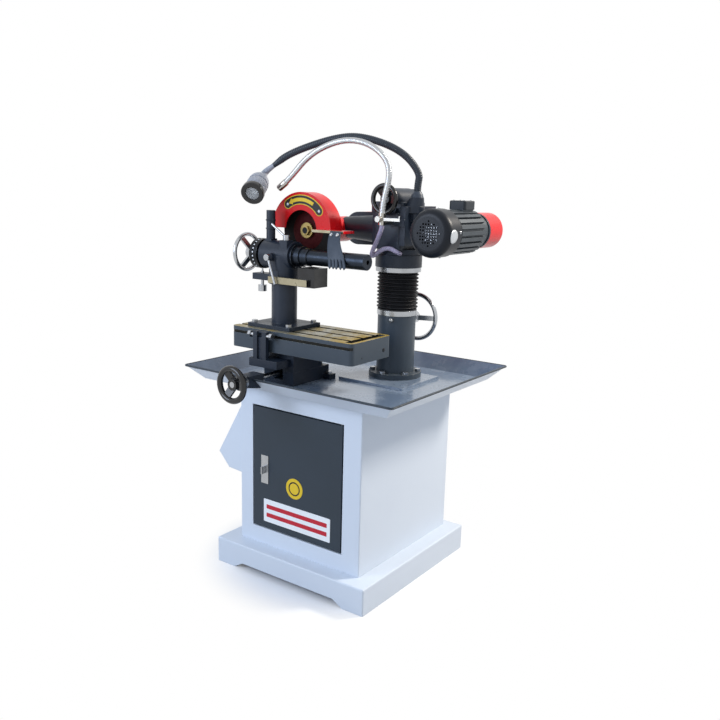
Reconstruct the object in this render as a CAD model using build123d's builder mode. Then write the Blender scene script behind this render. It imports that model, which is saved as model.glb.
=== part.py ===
from build123d import *
import math
import os

# A floor-standing circular saw blade sharpener, in millimetres.
# The origin is on the floor under the middle of the plinth. +X runs along the door face to the
# operator's right, +Y to the rear and +Z up.

os.makedirs("parts", exist_ok=True)

# Shared clearances
run_gap = 0.05  # radial gap of a turning or sliding round fit
way_gap = 0.4  # gap at the flanks and top of a dovetail way
hole_gap = 0.3  # radial gap round a fastener or a fixed tube
side_gap = 2.0  # air beside a part that slides past another

# Plinth
plinth_width = 584.0
plinth_depth = 590.0
plinth_height = 83.0
plinth_wall = 6.0
plinth_edge = 5.0
foot_length = 75.0
arch_ramp = 35.0
arch_rise = 20.0
anchor_inset = 42.0
anchor_radius = 7.0
foot_pad_height = 12.0

# Cabinet
cabinet_width = 473.0
cabinet_depth = 505.0
cabinet_height = 522.0
cabinet_wall = 3.0
cabinet_top_sheet = 5.0
cabinet_edge = 4.0
cabinet_setback = 11.0
jamb_depth = 18.0

# Door and its latch
door_width = 348.0
door_height = 395.0
door_rise = 59.0
door_offset = -6.0
door_thickness = 20.0
door_proud = 0.5
door_skin = 2.5
door_stile = 18.0
door_swing_gap = 0.4  # air between the door's corner and the jamb as it swings
pivot_radius = 4.0
pivot_inset = 9.0
pivot_reach = 18.0
pivot_head_radius = 5.5
pivot_head_height = 3.0
latch_inset = 48.0
latch_rise = 195.0
latch_width = 29.0
latch_height = 92.0
latch_sheet = 2.5
latch_barrel_radius = 10.0
latch_stem_radius = 4.0
latch_bow_width = 24.0
latch_bow_reach = 15.0
latch_bow_sheet = 4.0
latch_cam_length = 62.0
latch_cam_width = 14.0
latch_cam_sheet = 4.0
latch_cam_gap = 1.0

# Control box on the left side of the cabinet, heights above the cabinet floor
box_top_rise = 447.0
box_nose_rise = 269.0
box_heel_rise = 222.0
box_foot_rise = 217.0
box_nose_reach = 104.0
box_heel_reach = 60.0
box_setback = 6.5
box_length = 200.0
box_wall = 3.0
button_station = 0.42  # place along the sloped panel, from its top edge
button_pitch = 60.0
button_travel = 4.0
start_radius = 11.0
start_proud = 7.0
stop_stem_radius = 9.0
stop_cap_radius = 17.0
stop_cap_height = 9.0
button_depth = 12.0
button_lip = 2.5
button_lip_height = 3.0

# Tray
tray_width = 784.0
tray_depth = 685.0
tray_height = 45.0
tray_flare = 45.0
tray_sheet = 3.0
pad_width = 242.0
pad_depth = 218.0
pad_forward = 34.0
pad_height = 8.0
drain_side = 22.0
drain_back = 78.5
drain_radius = 17.0
drain_bore = 14.0
drain_length = 40.0

# Column
column_x = 105.0
column_y = 122.0
column_radius = 61.0
column_wall = 8.0
column_height = 201.0
flange_radius = 85.0
flange_height = 16.0
flange_bolt_circle = 73.0
flange_bolt_count = 6
bolt_radius = 5.0
bolt_head_radius = 10.0
bolt_head_height = 8.0
shelf_height = 10.0
shelf_bore = 38.0
ring_radius = 64.0
ring_height = 16.0
register_height = 3.0
guide_radius = 46.0
guide_height = 42.0
bellows_height = 122.0
bellows_outer = 66.0
bellows_inner = 54.0
bellows_sheet = 2.5
bellows_pleats = 9
collar_ring_radius = 72.0
collar_ring_height = 14.0
collar_radius = 74.0
collar_height = 39.0

# Lift drive: ram with a thread, turning nut with a crown gear, pinion on the handwheel shaft
ram_radius = 32.0
ram_foot_rise = 14.0
gear_module = 2.5
pinion_teeth = 12
crown_teeth = 32
tooth_thickness = 2.0
tooth_addendum = 1.8
tooth_dedendum = 2.6
crown_face = 8.0
nut_height = 42.0
lift_shaft_drop = 22.0
lift_shaft_radius = 10.0
lift_boss_radius = 20.0
lift_boss_reach = 24.0
lift_wheel_radius = 74.0
lift_wheel_wire = 7.0
lift_hub_radius = 20.0
lift_hub_length = 26.0
lift_wheel_dish = 20.0
wheel_spokes = 3
turned_spoke_width = 16.0
moulded_spoke_width = 24.0
spoke_depth = 7.0

# Cross slide
cross_x = -118.0
cross_y = -128.0
slide_width = 120.0
base_height = 42.0
base_tail = 40.0
saddle_length = 136.0
saddle_height = 62.0
cross_way_width = 64.0
cross_way_height = 16.0
cross_way_lean = 8.0
screw_slot_width = 34.0
screw_slot_floor = 14.0
screw_web = 20.0
cross_nut_width = 28.0
cross_nut_length = 60.0
cross_nut_height = 30.0
screw_rise = 34.0
screw_radius = 9.0
lug_width = 28.0
lug_depth = 30.0
lug_height = 16.0
bracket_width = 44.0
bracket_sill = 10.0
bracket_height = 52.0
bracket_inset = 44.0
bracket_reach = 19.0
bracket_toe = 18.0
dial_radius = 23.0
dial_length = 20.0
cross_wheel_radius = 48.0
cross_wheel_wire = 9.0
cross_hub_radius = 17.0
cross_hub_length = 24.0
cross_wheel_dish = 12.0
cross_wheel_gap = 4.0

# Stop bracket on the front of the saddle
stop_block_width = 112.0
stop_block_depth = 62.0
stop_block_height = 24.0
stop_block_offset = -10.0
stop_post_width = 52.0
stop_post_depth = 14.0
stop_post_height = 84.0
stop_post_offset = -29.0
stop_post_clear = 10.0
stop_groove_width = 20.0
stop_groove_depth = 6.0
stop_screw_radius = 6.0
stop_screw_length = 26.0
stop_screw_drop = 12.0
stop_head_radius = 11.0
stop_head_height = 10.0
stop_head_gap = 12.0

# Table
table_width = 470.0
table_depth = 200.0
table_height = 65.0
table_offset = 67.0
table_corner = 14.0
table_way_width = 70.0
table_way_height = 18.0
table_way_lean = 9.0
table_end_wall = 14.0
slot_width = 12.0
slot_neck = 9.0
slot_head_width = 20.0
slot_head_height = 8.0
slot_pitch = 60.0
trough_wall = 12.0
trough_width = 24.0
table_groove_drop = 12.0
table_groove_height = 8.0
table_groove_depth = 8.0

# Work post
post_offset = -104.0
post_radius = 40.0
post_height = 123.0
post_plate_width = 170.0
post_plate_depth = 150.0
post_plate_height = 12.0
post_bolt_span = 140.0
post_bolt_radius = 5.0
post_bolt_head_radius = 9.5
post_bolt_head_height = 8.0
post_bolt_reach = 7.0
spigot_radius = 20.0
spigot_height = 38.0

# Work head, places measured from the post axis and the spindle axis
work_rise = 88.0
work_body_radius = 44.0
work_body_tail = 71.0
work_body_nose = 48.0
work_boss_radius = 48.0
work_boss_flat = 46.0
work_bore = 26.0
lug_seat_x = 27.0
lug_seat_y = -24.0
lug_seat_size = 30.0
lug_seat_rise = 48.0
stud_radius = 4.0
stud_height = 13.0
finger_x = -57.0
finger_radius = 14.0
finger_height = 135.0
finger_seat = 28.0
finger_ring_radius = 16.0
finger_ring_height = 4.0
finger_ring_drop = 32.0
finger_ring_pitch = 26.0
finger_ring_count = 2
lock_x = -10.0
lock_rise = -4.0
lock_boss_radius = 12.0
lock_boss_reach = 60.0
plunger_arm_height = 20.0
plunger_arm_drop = 82.0
plunger_arm_width = 44.0
plunger_arm_reach = 115.0
plunger_radius = 5.0
plunger_tip_radius = 2.8
plunger_tip_length = 8.0
plunger_tip_gap = 1.0
plunger_length = 44.0
plunger_knob_radius = 14.0
plunger_knob_height = 20.0
lever_hub_radius = 10.0
lever_hub_height = 16.0
lever_rod_radius = 3.5
swivel_lever_run = 58.0
swivel_lever_lift = 38.0
lock_hub_height = 13.0
lock_rod_radius = 4.0
lock_lever_run = 29.0
lock_lever_drop = 80.0
rest_bar_tail = 17.0
rest_bar_reach = 136.0
rest_bar_height = 20.0
rest_bar_depth = 12.0
rest_bar_rise = 5.0
rest_block_start = 94.0
rest_block_width = 63.0
rest_block_depth = 62.0
rest_block_drop = 3.0
rest_block_height = 57.0

# Work spindle
nose_radii = (38.0, 31.0, 27.0)
nose_lengths = (8.0, 22.0, 27.0)
arbor_radius = 23.5
arbor_length = 211.0
arbor_edge = 2.0
arbor_screw_radius = 7.0
arbor_screw_depth = 12.0
tail_radius = 20.0
index_radius = 47.0
index_length = 30.0
index_gap = 6.0
index_holes = 24
index_hole_radius = 3.6
index_hole_depth = 9.0
grip_shaft_radius = 12.0
work_wheel_radius = 56.0
work_wheel_wire = 6.5
work_hub_radius = 18.0
work_hub_length = 26.0
work_wheel_dish = 22.0
work_wheel_gap = 16.0

# Head base on the collar
casting_edge = 8.0
turret_radius = 70.0
turret_height = 18.0
head_half_width = 47.0
head_front = 72.0
head_rear = 73.0
head_base_height = 130.0
head_way_width = 50.0
head_way_height = 14.0
head_way_lean = 7.0
infeed_nut_width = 20.0
infeed_nut_start = 40.0
infeed_nut_length = 18.0
infeed_nut_height = 54.0
infeed_rise = 40.0
infeed_screw_radius = 8.0
infeed_screw_tail = 4.0

# Head carriage, places measured from the column axis
cap_left = 69.0
cap_right = 50.0
cap_front = 64.0
cap_rear = 68.0
cap_height = 32.0
quill_radius = 34.0
cheek_sheet = 20.0
cheek_drop = 98.0
left_cheek_front = 52.0
right_cheek_front = 78.0
cheek_rear = 100.0
neck_offset = 6.0
neck_rise = 74.0
neck_root_radius = 46.0
neck_tip_radius = 34.0
neck_start = 20.0
belt_plate_radius = 55.0
belt_plate_sheet = 8.0
infeed_wheel_radius = 41.0
infeed_wheel_wire = 7.5
infeed_hub_radius = 14.0
infeed_hub_length = 24.0
infeed_wheel_dish = 14.0

# Grinding spindle
spindle_offset = -233.0
spindle_rise = 67.0
spindle_tube_radius = 36.0
spindle_tube_front = 146.0
bearing_radius = 26.0
bearing_length = 16.0
bearing_inset = 6.0
spindle_radius = 12.5
spindle_collar_radius = 30.0
spindle_collar_length = 6.5
spindle_collar_gap = 1.5
wheel_seat_radius = 16.0
wheel_radius = 100.0
wheel_length = 14.0
wheel_edge = 4.0
nut_washer_radius = 24.0
nut_washer_length = 10.0
nut_flats_radius = 16.0
nut_length = 8.0
nut_bore = 10.0

# Wheel guard and splash flap
guard_radius = 118.0
guard_opening = 63.0
guard_sheet = 3.0
guard_depth = 58.0
guard_sill = 6.0
sleeve_radius = 41.0
sleeve_length = 179.0
strip_start = 68.0
strip_reach = 188.0
strip_sheet = 8.0
strip_lap = 2.0
strip_front = 30.5
strip_rear = 24.0
flap_axis_gap = 3.5
flap_barrel = 2.8
flap_sheet = 3.0
flap_out = (36.0, 43.0)
flap_down = (50.0, 104.0)
flap_top = (144.0, 184.0)
flap_foot = (167.0, 233.0)
flap_slits = 4
flap_slit_width = 3.0
flap_slit_height = 18.0

# Motor and belt drive
motor_offset = 207.0
motor_rise = 13.0  # motor axis above the spindle axis
motor_radius = 58.0
motor_length = 156.0
motor_bell_radius = 67.5
motor_bell_length = 12.0
motor_end_radius = 52.0
motor_end_length = 42.0
motor_wall = 14.0
motor_cavity = 43.0
fin_count = 22
fin_height = 8.0
fin_width = 11.0
fin_inset = 6.0
terminal_shift = 38.0  # terminal box behind the middle of the motor body
terminal_width = 56.0
terminal_depth = 64.0
terminal_height = 26.0
terminal_seat = 44.0
terminal_edge = 8.0
fan_cover_length = 71.0
fan_cover_sheet = 2.2
fan_cover_lap = 8.0
fan_cover_edge = 22.0
grille_pitch = 8.7
grille_reach = 4
grille_hole_radius = 2.7
rotor_radius = 41.0
rotor_length = 110.0
motor_shaft_radius = 9.5
fan_radius = 58.0
fan_hub_radius = 20.0
fan_length = 26.0
fan_front_gap = 16.0
fan_blades = 8
fan_blade_sheet = 3.0
motor_pulley_radius = 36.0
spindle_pulley_radius = 30.0
pulley_gap = 8.0
pulley_length = 22.0
pulley_rim = 9.0
groove_width = 11.0
belt_height = 7.0
belt_width = 9.0
belt_gap = 0.3
shaft_tail = 8.0
belt_cover_sheet = 2.5
belt_cover_depth = 87.0

# Lamp
lamp_x = 73.0
lamp_y = -22.0
lamp_boss_radius = 24.0
lamp_boss_height = 44.0
lamp_cone_radii = (40.0, 21.0)
lamp_cone_lean = 18.0
lamp_cone_height = 27.0
lamp_base_radii = (20.0, 17.0, 12.0)
lamp_base_heights = (10.0, 18.0)
gooseneck_radius = 11.0
gooseneck_bore = 6.0
gooseneck_lead = 28.0
gooseneck_end_bend = 20.0
# Gooseneck bends from the top of the lamp's base: place in X, Y and Z, then the bend radius
gooseneck_bends = [
    (0.0, 0.0, 18.0, 100.0),
    (5.5, 2.4, 56.0, 40.0),
    (-47.5, -21.0, 120.0, 90.0),
    (-149.0, -66.0, 159.0, 150.0),
    (-230.0, -102.0, 158.0, 200.0),
    (-366.0, -162.0, 109.0, 200.0),
    (-420.0, -186.0, 66.0, 60.0),
]
lamp_aim = (0.346, -0.775, -0.462)
lamp_lens_place = (-338.6, -312.0, 175.0)
lamp_body_radius = 33.0
lamp_bezel_radius = 36.0
lamp_bezel_length = 14.0
lamp_body_length = 72.0
lamp_neck_length = 26.0
lamp_neck_radius = 13.0
lens_radius = 30.5
lens_sheet = 4.0
lens_inset = 3.0
reflector_depth = 56.0
reflector_end = 10.0

# Coolant valve, hose and tube
valve_x = 21.0
valve_reach = 132.0
valve_rise = 112.0
valve_radius = 11.0
valve_height = 36.0
valve_neck_radius = 7.0
valve_plate_sheet = 6.0
valve_plate_height = 22.0
valve_stem_radius = 4.0
valve_stem_reach = 14.0
valve_lever_width = 9.0
valve_lever_sheet = 3.0
valve_lever_length = 72.0
valve_lever_rise = 12.0
hose_radius = 9.5
hose_bore = 6.0
# Hose bends from the top of the valve: place in X, Y and Z, then the bend radius
hose_bends = [
    (0.0, 0.0, 24.0, 100.0),
    (22.0, 6.0, 118.0, 80.0),
    (0.0, -1.0, 170.0, 80.0),
    (-62.0, -18.0, 208.0, 120.0),
    (-140.0, -38.0, 210.0, 150.0),
    (-232.0, -62.0, 168.0, 150.0),
    (-298.0, -78.0, 92.0, 200.0),
]
hose_tip = (-320.0, -83.0, 74.0)
nozzle_length = 24.0
nozzle_tip_radius = 5.0
nozzle_bore = 3.0
tube_radius = 7.0
tube_bore = 5.0
tube_bends = (14.0, 11.0, 14.0, 7.5)
tube_drape = 12.0
tube_lead = 16.0
tube_left = 59.0
tube_sag = 27.0
tube_crest = 7.0
tube_crest_rise = 22.7
tube_side = 35.0
tube_stub = 24.0

# Heights that stack up from the floor
cabinet_top_z = plinth_height + cabinet_height
tray_floor_z = cabinet_top_z + tray_sheet
tray_rim_z = cabinet_top_z + tray_height
pad_top_z = tray_floor_z + pad_height
column_top_z = pad_top_z + column_height
ring_top_z = column_top_z + ring_height
bellows_top_z = ring_top_z + bellows_height
collar_top_z = bellows_top_z + collar_ring_height + collar_height
base_top_z = tray_floor_z + base_height
saddle_top_z = base_top_z + saddle_height
table_top_z = saddle_top_z + table_height
post_foot_z = table_top_z + post_plate_height
post_top_z = post_foot_z + post_height
work_z = post_top_z + work_rise
head_top_z = collar_top_z + head_base_height
spindle_z = collar_top_z + spindle_rise
motor_z = spindle_z + motor_rise
infeed_z = head_top_z + infeed_rise
cap_top_z = head_top_z + cap_height
cheek_top_z = head_top_z + cheek_sheet

# Places that follow from the sizes
cabinet_front_y = cabinet_setback - cabinet_depth / 2
cabinet_left_x = -cabinet_width / 2
door_left_x = door_offset - door_width / 2
door_right_x = door_offset + door_width / 2
door_foot_z = plinth_height + door_rise
door_top_z = door_foot_z + door_height
door_front_y = cabinet_front_y - door_proud
door_back_y = door_front_y + door_thickness
pivot_x = door_right_x - pivot_inset
pivot_y = cabinet_front_y + pivot_inset
door_gap = math.hypot(pivot_inset, pivot_inset + door_proud) - pivot_inset + door_swing_gap
latch_x = door_left_x + latch_inset
latch_z = door_foot_z + latch_rise
anchor_span_x = plinth_width - 2 * anchor_inset
anchor_span_y = plinth_depth - 2 * anchor_inset
saddle_front_y = cross_y - saddle_length / 2
saddle_back_y = cross_y + saddle_length / 2
base_back_y = saddle_back_y + base_tail
slide_left_x = cross_x - slide_width / 2
slide_right_x = cross_x + slide_width / 2
screw_z = tray_floor_z + screw_rise
tray_front_y = cabinet_setback - tray_depth / 2
bracket_front_y = tray_front_y - bracket_reach
table_x = cross_x + table_offset
table_front_y = cross_y - table_depth / 2
post_x = table_x + post_offset
work_nose_x = post_x + work_body_nose
work_tail_x = post_x - work_body_tail
index_x = work_tail_x - index_gap - index_length / 2
pinion_radius = gear_module * pinion_teeth / 2
crown_radius = gear_module * crown_teeth / 2
lift_shaft_z = column_top_z - lift_shaft_drop
crown_z = lift_shaft_z - pinion_radius
nut_foot_z = crown_z - tooth_dedendum - nut_height
spindle_x = column_x + spindle_offset
motor_x = column_x + motor_offset
belt_plate_y = column_y + cheek_rear
spindle_front_y = column_y - spindle_tube_front
wheel_back_y = spindle_front_y - spindle_collar_gap - spindle_collar_length
wheel_front_y = wheel_back_y - wheel_length
guard_back_y = spindle_front_y - side_gap
guard_front_y = guard_back_y - guard_depth
guard_foot_z = spindle_z + guard_sill
flap_axis_y = guard_front_y - strip_front - flap_axis_gap
flap_axis_z = guard_foot_z + strip_lap - strip_sheet / 2
pulley_y = belt_plate_y + belt_plate_sheet + pulley_gap
motor_back_y = belt_plate_y - motor_end_length
motor_front_y = motor_back_y - motor_length
fan_cover_front_y = motor_front_y - motor_bell_length + fan_cover_lap - fan_cover_length


def at_x(x):
    """Plane across the X axis, its normal towards +X."""
    return Plane.YZ.offset(x)


def at_y(y):
    """Plane across the Y axis, its normal towards the front."""
    return Plane.XZ.offset(-y)


def at_z(z):
    """Level plane at a height above the floor."""
    return Plane.XY.offset(z)


def block(x0, x1, y0, y1, z0, z1, mode=Mode.ADD):
    """Add or cut a box between two corners."""
    with Locations(((x0 + x1) / 2, (y0 + y1) / 2, (z0 + z1) / 2)):
        Box(x1 - x0, y1 - y0, z1 - z0, mode=mode)


def rod_x(x0, x1, y, z, radius, mode=Mode.ADD):
    """Add or cut a round bar along X."""
    with Locations(((x0 + x1) / 2, y, z)):
        Cylinder(radius, x1 - x0, rotation=(0, 90, 0), mode=mode)


def rod_y(y0, y1, x, z, radius, mode=Mode.ADD):
    """Add or cut a round bar along Y."""
    with Locations((x, (y0 + y1) / 2, z)):
        Cylinder(radius, y1 - y0, rotation=(90, 0, 0), mode=mode)


def rod_z(z0, z1, x, y, radius, mode=Mode.ADD):
    """Add or cut an upright round bar."""
    with Locations((x, y, (z0 + z1) / 2)):
        Cylinder(radius, z1 - z0, mode=mode)


def rod_between(start, end, radius):
    """Add a round bar from one point to another."""
    run = Vector(*end) - Vector(*start)
    with BuildSketch(Plane(origin=start, z_dir=run)) as end_face:
        Circle(radius)
    extrude(end_face.sketch, amount=run.length)


def way(plane, x, y, width, height, lean, length, gap=0.0, mode=Mode.ADD):
    """Add a dovetail way on a plane, or cut the groove that takes it."""
    foot = width / 2 + gap
    head = foot + lean
    with BuildSketch(plane) as profile:
        with Locations((x, y)):
            Polygon((-foot, 0), (foot, 0), (head, height + gap), (-head, height + gap), align=None)
    extrude(profile.sketch, amount=length, mode=mode)


def handwheel(plane, rim_radius, rim_wire, hub_radius, hub_length, dish, bore, spoke_width):
    """Dished handwheel; the plane lies midway between the hub and the rim."""
    spoke_run = rim_radius - hub_radius / 2
    spoke_length = math.hypot(spoke_run, dish)
    spoke_tilt = math.degrees(math.atan2(dish, spoke_run))
    with BuildPart(plane) as wheel:
        with Locations((0, 0, dish / 2)):
            Torus(rim_radius, rim_wire)
        with Locations((0, 0, -dish / 2)):
            Cylinder(hub_radius, hub_length)
        with PolarLocations((rim_radius + hub_radius / 2) / 2, wheel_spokes):
            Box(spoke_length, spoke_width, spoke_depth, rotation=(0, -spoke_tilt, 0))
        with Locations((0, 0, -dish / 2)):
            Cylinder(bore, 2 * hub_length, mode=Mode.SUBTRACT)
    return wheel.part


def hex_bolts(plane, places, shank_radius, head_radius, head_height, reach):
    """Add hexagon bolts whose heads stand on a plane."""
    with BuildSketch(plane) as heads:
        with Locations(*places):
            RegularPolygon(head_radius, 6)
    extrude(heads.sketch, amount=head_height)
    with BuildSketch(plane) as shanks:
        with Locations(*places):
            Circle(shank_radius)
    extrude(shanks.sketch, amount=-reach)


def pipe(points, bends, radius, bore):
    """Add a tube along straight runs, with a bend radius at each inner point."""
    with BuildLine() as path:
        FilletPolyline(*points, radius=bends)
    with BuildSketch(Plane(origin=path.line @ 0, z_dir=path.line % 0)) as section:
        Circle(radius)
        Circle(bore, mode=Mode.SUBTRACT)
    sweep(section.sketch, path=path.line)


# Plinth
arch_foot = plinth_width / 2 - foot_length
foot_pad = 2 * (anchor_inset - plinth_wall) + plinth_wall
with BuildPart() as plinth:
    block(-plinth_width / 2, plinth_width / 2, -plinth_depth / 2, plinth_depth / 2, 0, plinth_height)
    fillet(plinth.edges().filter_by(Axis.Z), plinth_edge)
    fillet(plinth.faces().sort_by(Axis.Z)[-1].edges(), plinth_edge)
    with BuildSketch():
        Rectangle(plinth_width - 2 * plinth_wall, plinth_depth - 2 * plinth_wall)
    extrude(amount=plinth_height - plinth_wall, mode=Mode.SUBTRACT)
    with BuildSketch(Plane.XZ):
        Polygon(
            (-arch_foot, 0),
            (arch_foot, 0),
            (arch_foot - arch_ramp, arch_rise),
            (arch_ramp - arch_foot, arch_rise),
            align=None,
        )
    extrude(amount=plinth_depth, both=True, mode=Mode.SUBTRACT)
    with BuildSketch():
        with GridLocations(anchor_span_x, anchor_span_y, 2, 2):
            Rectangle(foot_pad, foot_pad)
    extrude(amount=foot_pad_height)
    with BuildSketch():
        with GridLocations(anchor_span_x, anchor_span_y, 2, 2):
            Circle(anchor_radius)
    extrude(amount=foot_pad_height, mode=Mode.SUBTRACT)
plinth.part.label = "plinth"
export_step(plinth.part, "parts/plinth.step")

# Cabinet: a closed sheet box with a door opening in a folded jamb
open_left = door_left_x - door_gap
open_right = door_right_x + door_gap
open_foot = door_foot_z - door_gap
open_top = door_top_z + door_gap
cabinet_back_y = cabinet_front_y + cabinet_depth
with BuildPart() as cabinet:
    block(cabinet_left_x, -cabinet_left_x, cabinet_front_y, cabinet_back_y, plinth_height, cabinet_top_z)
    fillet(cabinet.edges().filter_by(Axis.Z), cabinet_edge)
    block(
        cabinet_left_x + cabinet_wall,
        -cabinet_left_x - cabinet_wall,
        cabinet_front_y + cabinet_wall,
        cabinet_back_y - cabinet_wall,
        plinth_height + cabinet_wall,
        cabinet_top_z - cabinet_top_sheet,
        mode=Mode.SUBTRACT,
    )
    block(
        open_left - cabinet_wall,
        open_right + cabinet_wall,
        cabinet_front_y,
        cabinet_front_y + jamb_depth,
        open_foot - cabinet_wall,
        open_top + cabinet_wall,
    )
    block(
        open_left,
        open_right,
        cabinet_front_y,
        cabinet_front_y + jamb_depth,
        open_foot,
        open_top,
        mode=Mode.SUBTRACT,
    )
    rod_z(
        open_foot - cabinet_wall,
        open_top + cabinet_wall,
        pivot_x,
        pivot_y,
        pivot_radius + hole_gap,
        mode=Mode.SUBTRACT,
    )
cabinet.part.label = "cabinet"
export_step(cabinet.part, "parts/cabinet.step")

# Door pivots: a headed pin through the jamb above and below the door
with BuildPart() as hinge_pins:
    rod_z(door_top_z - pivot_reach, open_top + cabinet_wall, pivot_x, pivot_y, pivot_radius)
    rod_z(
        open_top + cabinet_wall,
        open_top + cabinet_wall + pivot_head_height,
        pivot_x,
        pivot_y,
        pivot_head_radius,
    )
    rod_z(open_foot - cabinet_wall, door_foot_z + pivot_reach, pivot_x, pivot_y, pivot_radius)
    rod_z(
        open_foot - cabinet_wall - pivot_head_height,
        open_foot - cabinet_wall,
        pivot_x,
        pivot_y,
        pivot_head_radius,
    )
hinge_pins.part.label = "hinge_pins"
export_step(hinge_pins.part, "parts/hinge_pins.step")

# Door: a folded pan with a solid stile for the pivots
with BuildPart() as door:
    block(door_left_x, door_right_x, door_front_y, door_back_y, door_foot_z, door_top_z)
    block(
        door_left_x + door_skin,
        door_right_x - door_stile,
        door_front_y + door_skin,
        door_back_y,
        door_foot_z + door_skin,
        door_top_z - door_skin,
        mode=Mode.SUBTRACT,
    )
    rod_z(door_foot_z, door_top_z, pivot_x, pivot_y, pivot_radius + run_gap, mode=Mode.SUBTRACT)
    rod_y(
        door_front_y,
        door_back_y,
        latch_x,
        latch_z,
        latch_barrel_radius + hole_gap,
        mode=Mode.SUBTRACT,
    )
door.part.label = "door"
export_step(door.part, "parts/door.step")

# Latch: plate and barrel fixed to the door, key with a cam behind the jamb
cam_front_y = max(door_back_y, cabinet_front_y + jamb_depth) + latch_cam_gap
plate_front_y = door_front_y - latch_sheet
with BuildPart() as latch_plate:
    block(
        latch_x - latch_width / 2,
        latch_x + latch_width / 2,
        plate_front_y,
        door_front_y,
        latch_z - latch_height / 2,
        latch_z + latch_height / 2,
    )
    rod_y(door_front_y, door_back_y, latch_x, latch_z, latch_barrel_radius)
    rod_y(
        plate_front_y,
        door_back_y,
        latch_x,
        latch_z,
        latch_stem_radius + run_gap,
        mode=Mode.SUBTRACT,
    )
latch_plate.part.label = "latch_plate"
export_step(latch_plate.part, "parts/latch_plate.step")

with BuildPart() as latch_key:
    rod_y(
        plate_front_y - latch_cam_gap,
        cam_front_y + latch_cam_sheet,
        latch_x,
        latch_z,
        latch_stem_radius,
    )
    block(
        latch_x - latch_bow_sheet / 2,
        latch_x + latch_bow_sheet / 2,
        plate_front_y - latch_cam_gap - latch_bow_reach,
        plate_front_y - latch_cam_gap,
        latch_z - latch_bow_width / 2,
        latch_z + latch_bow_width / 2,
    )
    block(
        latch_x - latch_cam_width / 2,
        latch_x + latch_cam_width / 2,
        cam_front_y,
        cam_front_y + latch_cam_sheet,
        latch_z - latch_cam_width / 2,
        latch_z - latch_cam_width / 2 + latch_cam_length,
    )
latch_key.part.label = "latch_key"
export_step(latch_key.part, "parts/latch_key.step")

# Control box: sloped panel above, undercut below, closed ends
box_front_y = cabinet_front_y + box_setback
panel_lean = math.atan2(box_nose_reach, box_top_rise - box_nose_rise)
panel_normal = (-math.cos(panel_lean), 0, math.sin(panel_lean))
box_profile = [
    (cabinet_left_x, plinth_height + box_top_rise),
    (cabinet_left_x - box_nose_reach, plinth_height + box_nose_rise),
    (cabinet_left_x - box_heel_reach, plinth_height + box_heel_rise),
    (cabinet_left_x, plinth_height + box_foot_rise),
]


def panel_plane(y):
    """Plane on the sloped panel at a button's place, its normal outwards."""
    return Plane(
        origin=(
            cabinet_left_x - button_station * box_nose_reach,
            y,
            plinth_height + box_top_rise - button_station * (box_top_rise - box_nose_rise),
        ),
        x_dir=(0, 1, 0),
        z_dir=panel_normal,
    )


start_plane = panel_plane(box_front_y + (box_length - button_pitch) / 2)
stop_plane = panel_plane(box_front_y + (box_length + button_pitch) / 2)
with BuildPart() as control_box:
    with BuildSketch(at_y(box_front_y)):
        Polygon(*box_profile, align=None)
    extrude(amount=-box_length)
    with BuildSketch(at_y(box_front_y + box_wall)):
        Polygon(*box_profile, align=None)
        offset(amount=-box_wall, mode=Mode.REPLACE)
    extrude(amount=2 * box_wall - box_length, mode=Mode.SUBTRACT)
    with BuildSketch(start_plane):
        Circle(start_radius + hole_gap)
    extrude(amount=-2 * box_wall, mode=Mode.SUBTRACT)
    with BuildSketch(stop_plane):
        Circle(stop_stem_radius + hole_gap)
    extrude(amount=-2 * box_wall, mode=Mode.SUBTRACT)
control_box.part.label = "control_box"
export_step(control_box.part, "parts/control_box.step")

# Push buttons, each kept in by a lip inside the panel
with BuildPart() as start_button:
    with BuildSketch(start_plane.offset(start_proud)):
        Circle(start_radius)
    extrude(amount=-start_proud - button_depth)
    with BuildSketch(start_plane.offset(-box_wall)):
        Circle(start_radius + button_lip)
    extrude(amount=-button_lip_height)
start_button.part.label = "start_button"
export_step(start_button.part, "parts/start_button.step")

stop_cap_foot = button_travel + side_gap
with BuildPart() as stop_button:
    with BuildSketch(stop_plane.offset(stop_cap_foot)):
        Circle(stop_cap_radius)
    extrude(amount=stop_cap_height)
    fillet(stop_button.edges().group_by(SortBy.DISTANCE)[-1], stop_cap_height / 3)
    with BuildSketch(stop_plane.offset(stop_cap_foot)):
        Circle(stop_stem_radius)
    extrude(amount=-stop_cap_foot - button_depth)
    with BuildSketch(stop_plane.offset(-box_wall)):
        Circle(stop_stem_radius + button_lip)
    extrude(amount=-button_lip_height)
stop_button.part.label = "stop_button"
export_step(stop_button.part, "parts/stop_button.step")

# Tray: flared sheet walls, raised column pad, notch for the screw bracket, drain stub
tray_slope = tray_flare / tray_height
tray_wall = tray_sheet * math.hypot(1, tray_slope)
floor_width = tray_width - 2 * tray_flare
floor_depth = tray_depth - 2 * tray_flare
drain_x = drain_side - floor_width / 2
drain_y = cabinet_setback + floor_depth / 2 - drain_back
inner_grow = 2 * (tray_sheet * tray_slope - tray_wall)
sill_z = tray_floor_z + bracket_sill
pad_front_y = column_y - pad_forward - pad_depth / 2
flange_places = [
    (
        column_x + flange_bolt_circle * math.cos(2 * math.pi * (k + 0.5) / flange_bolt_count),
        column_y + flange_bolt_circle * math.sin(2 * math.pi * (k + 0.5) / flange_bolt_count),
    )
    for k in range(flange_bolt_count)
]
lug_places = [
    (slide_left_x - lug_width / 2, base_back_y - lug_depth / 2),
    (slide_right_x + lug_width / 2, base_back_y - lug_depth / 2),
]
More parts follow.
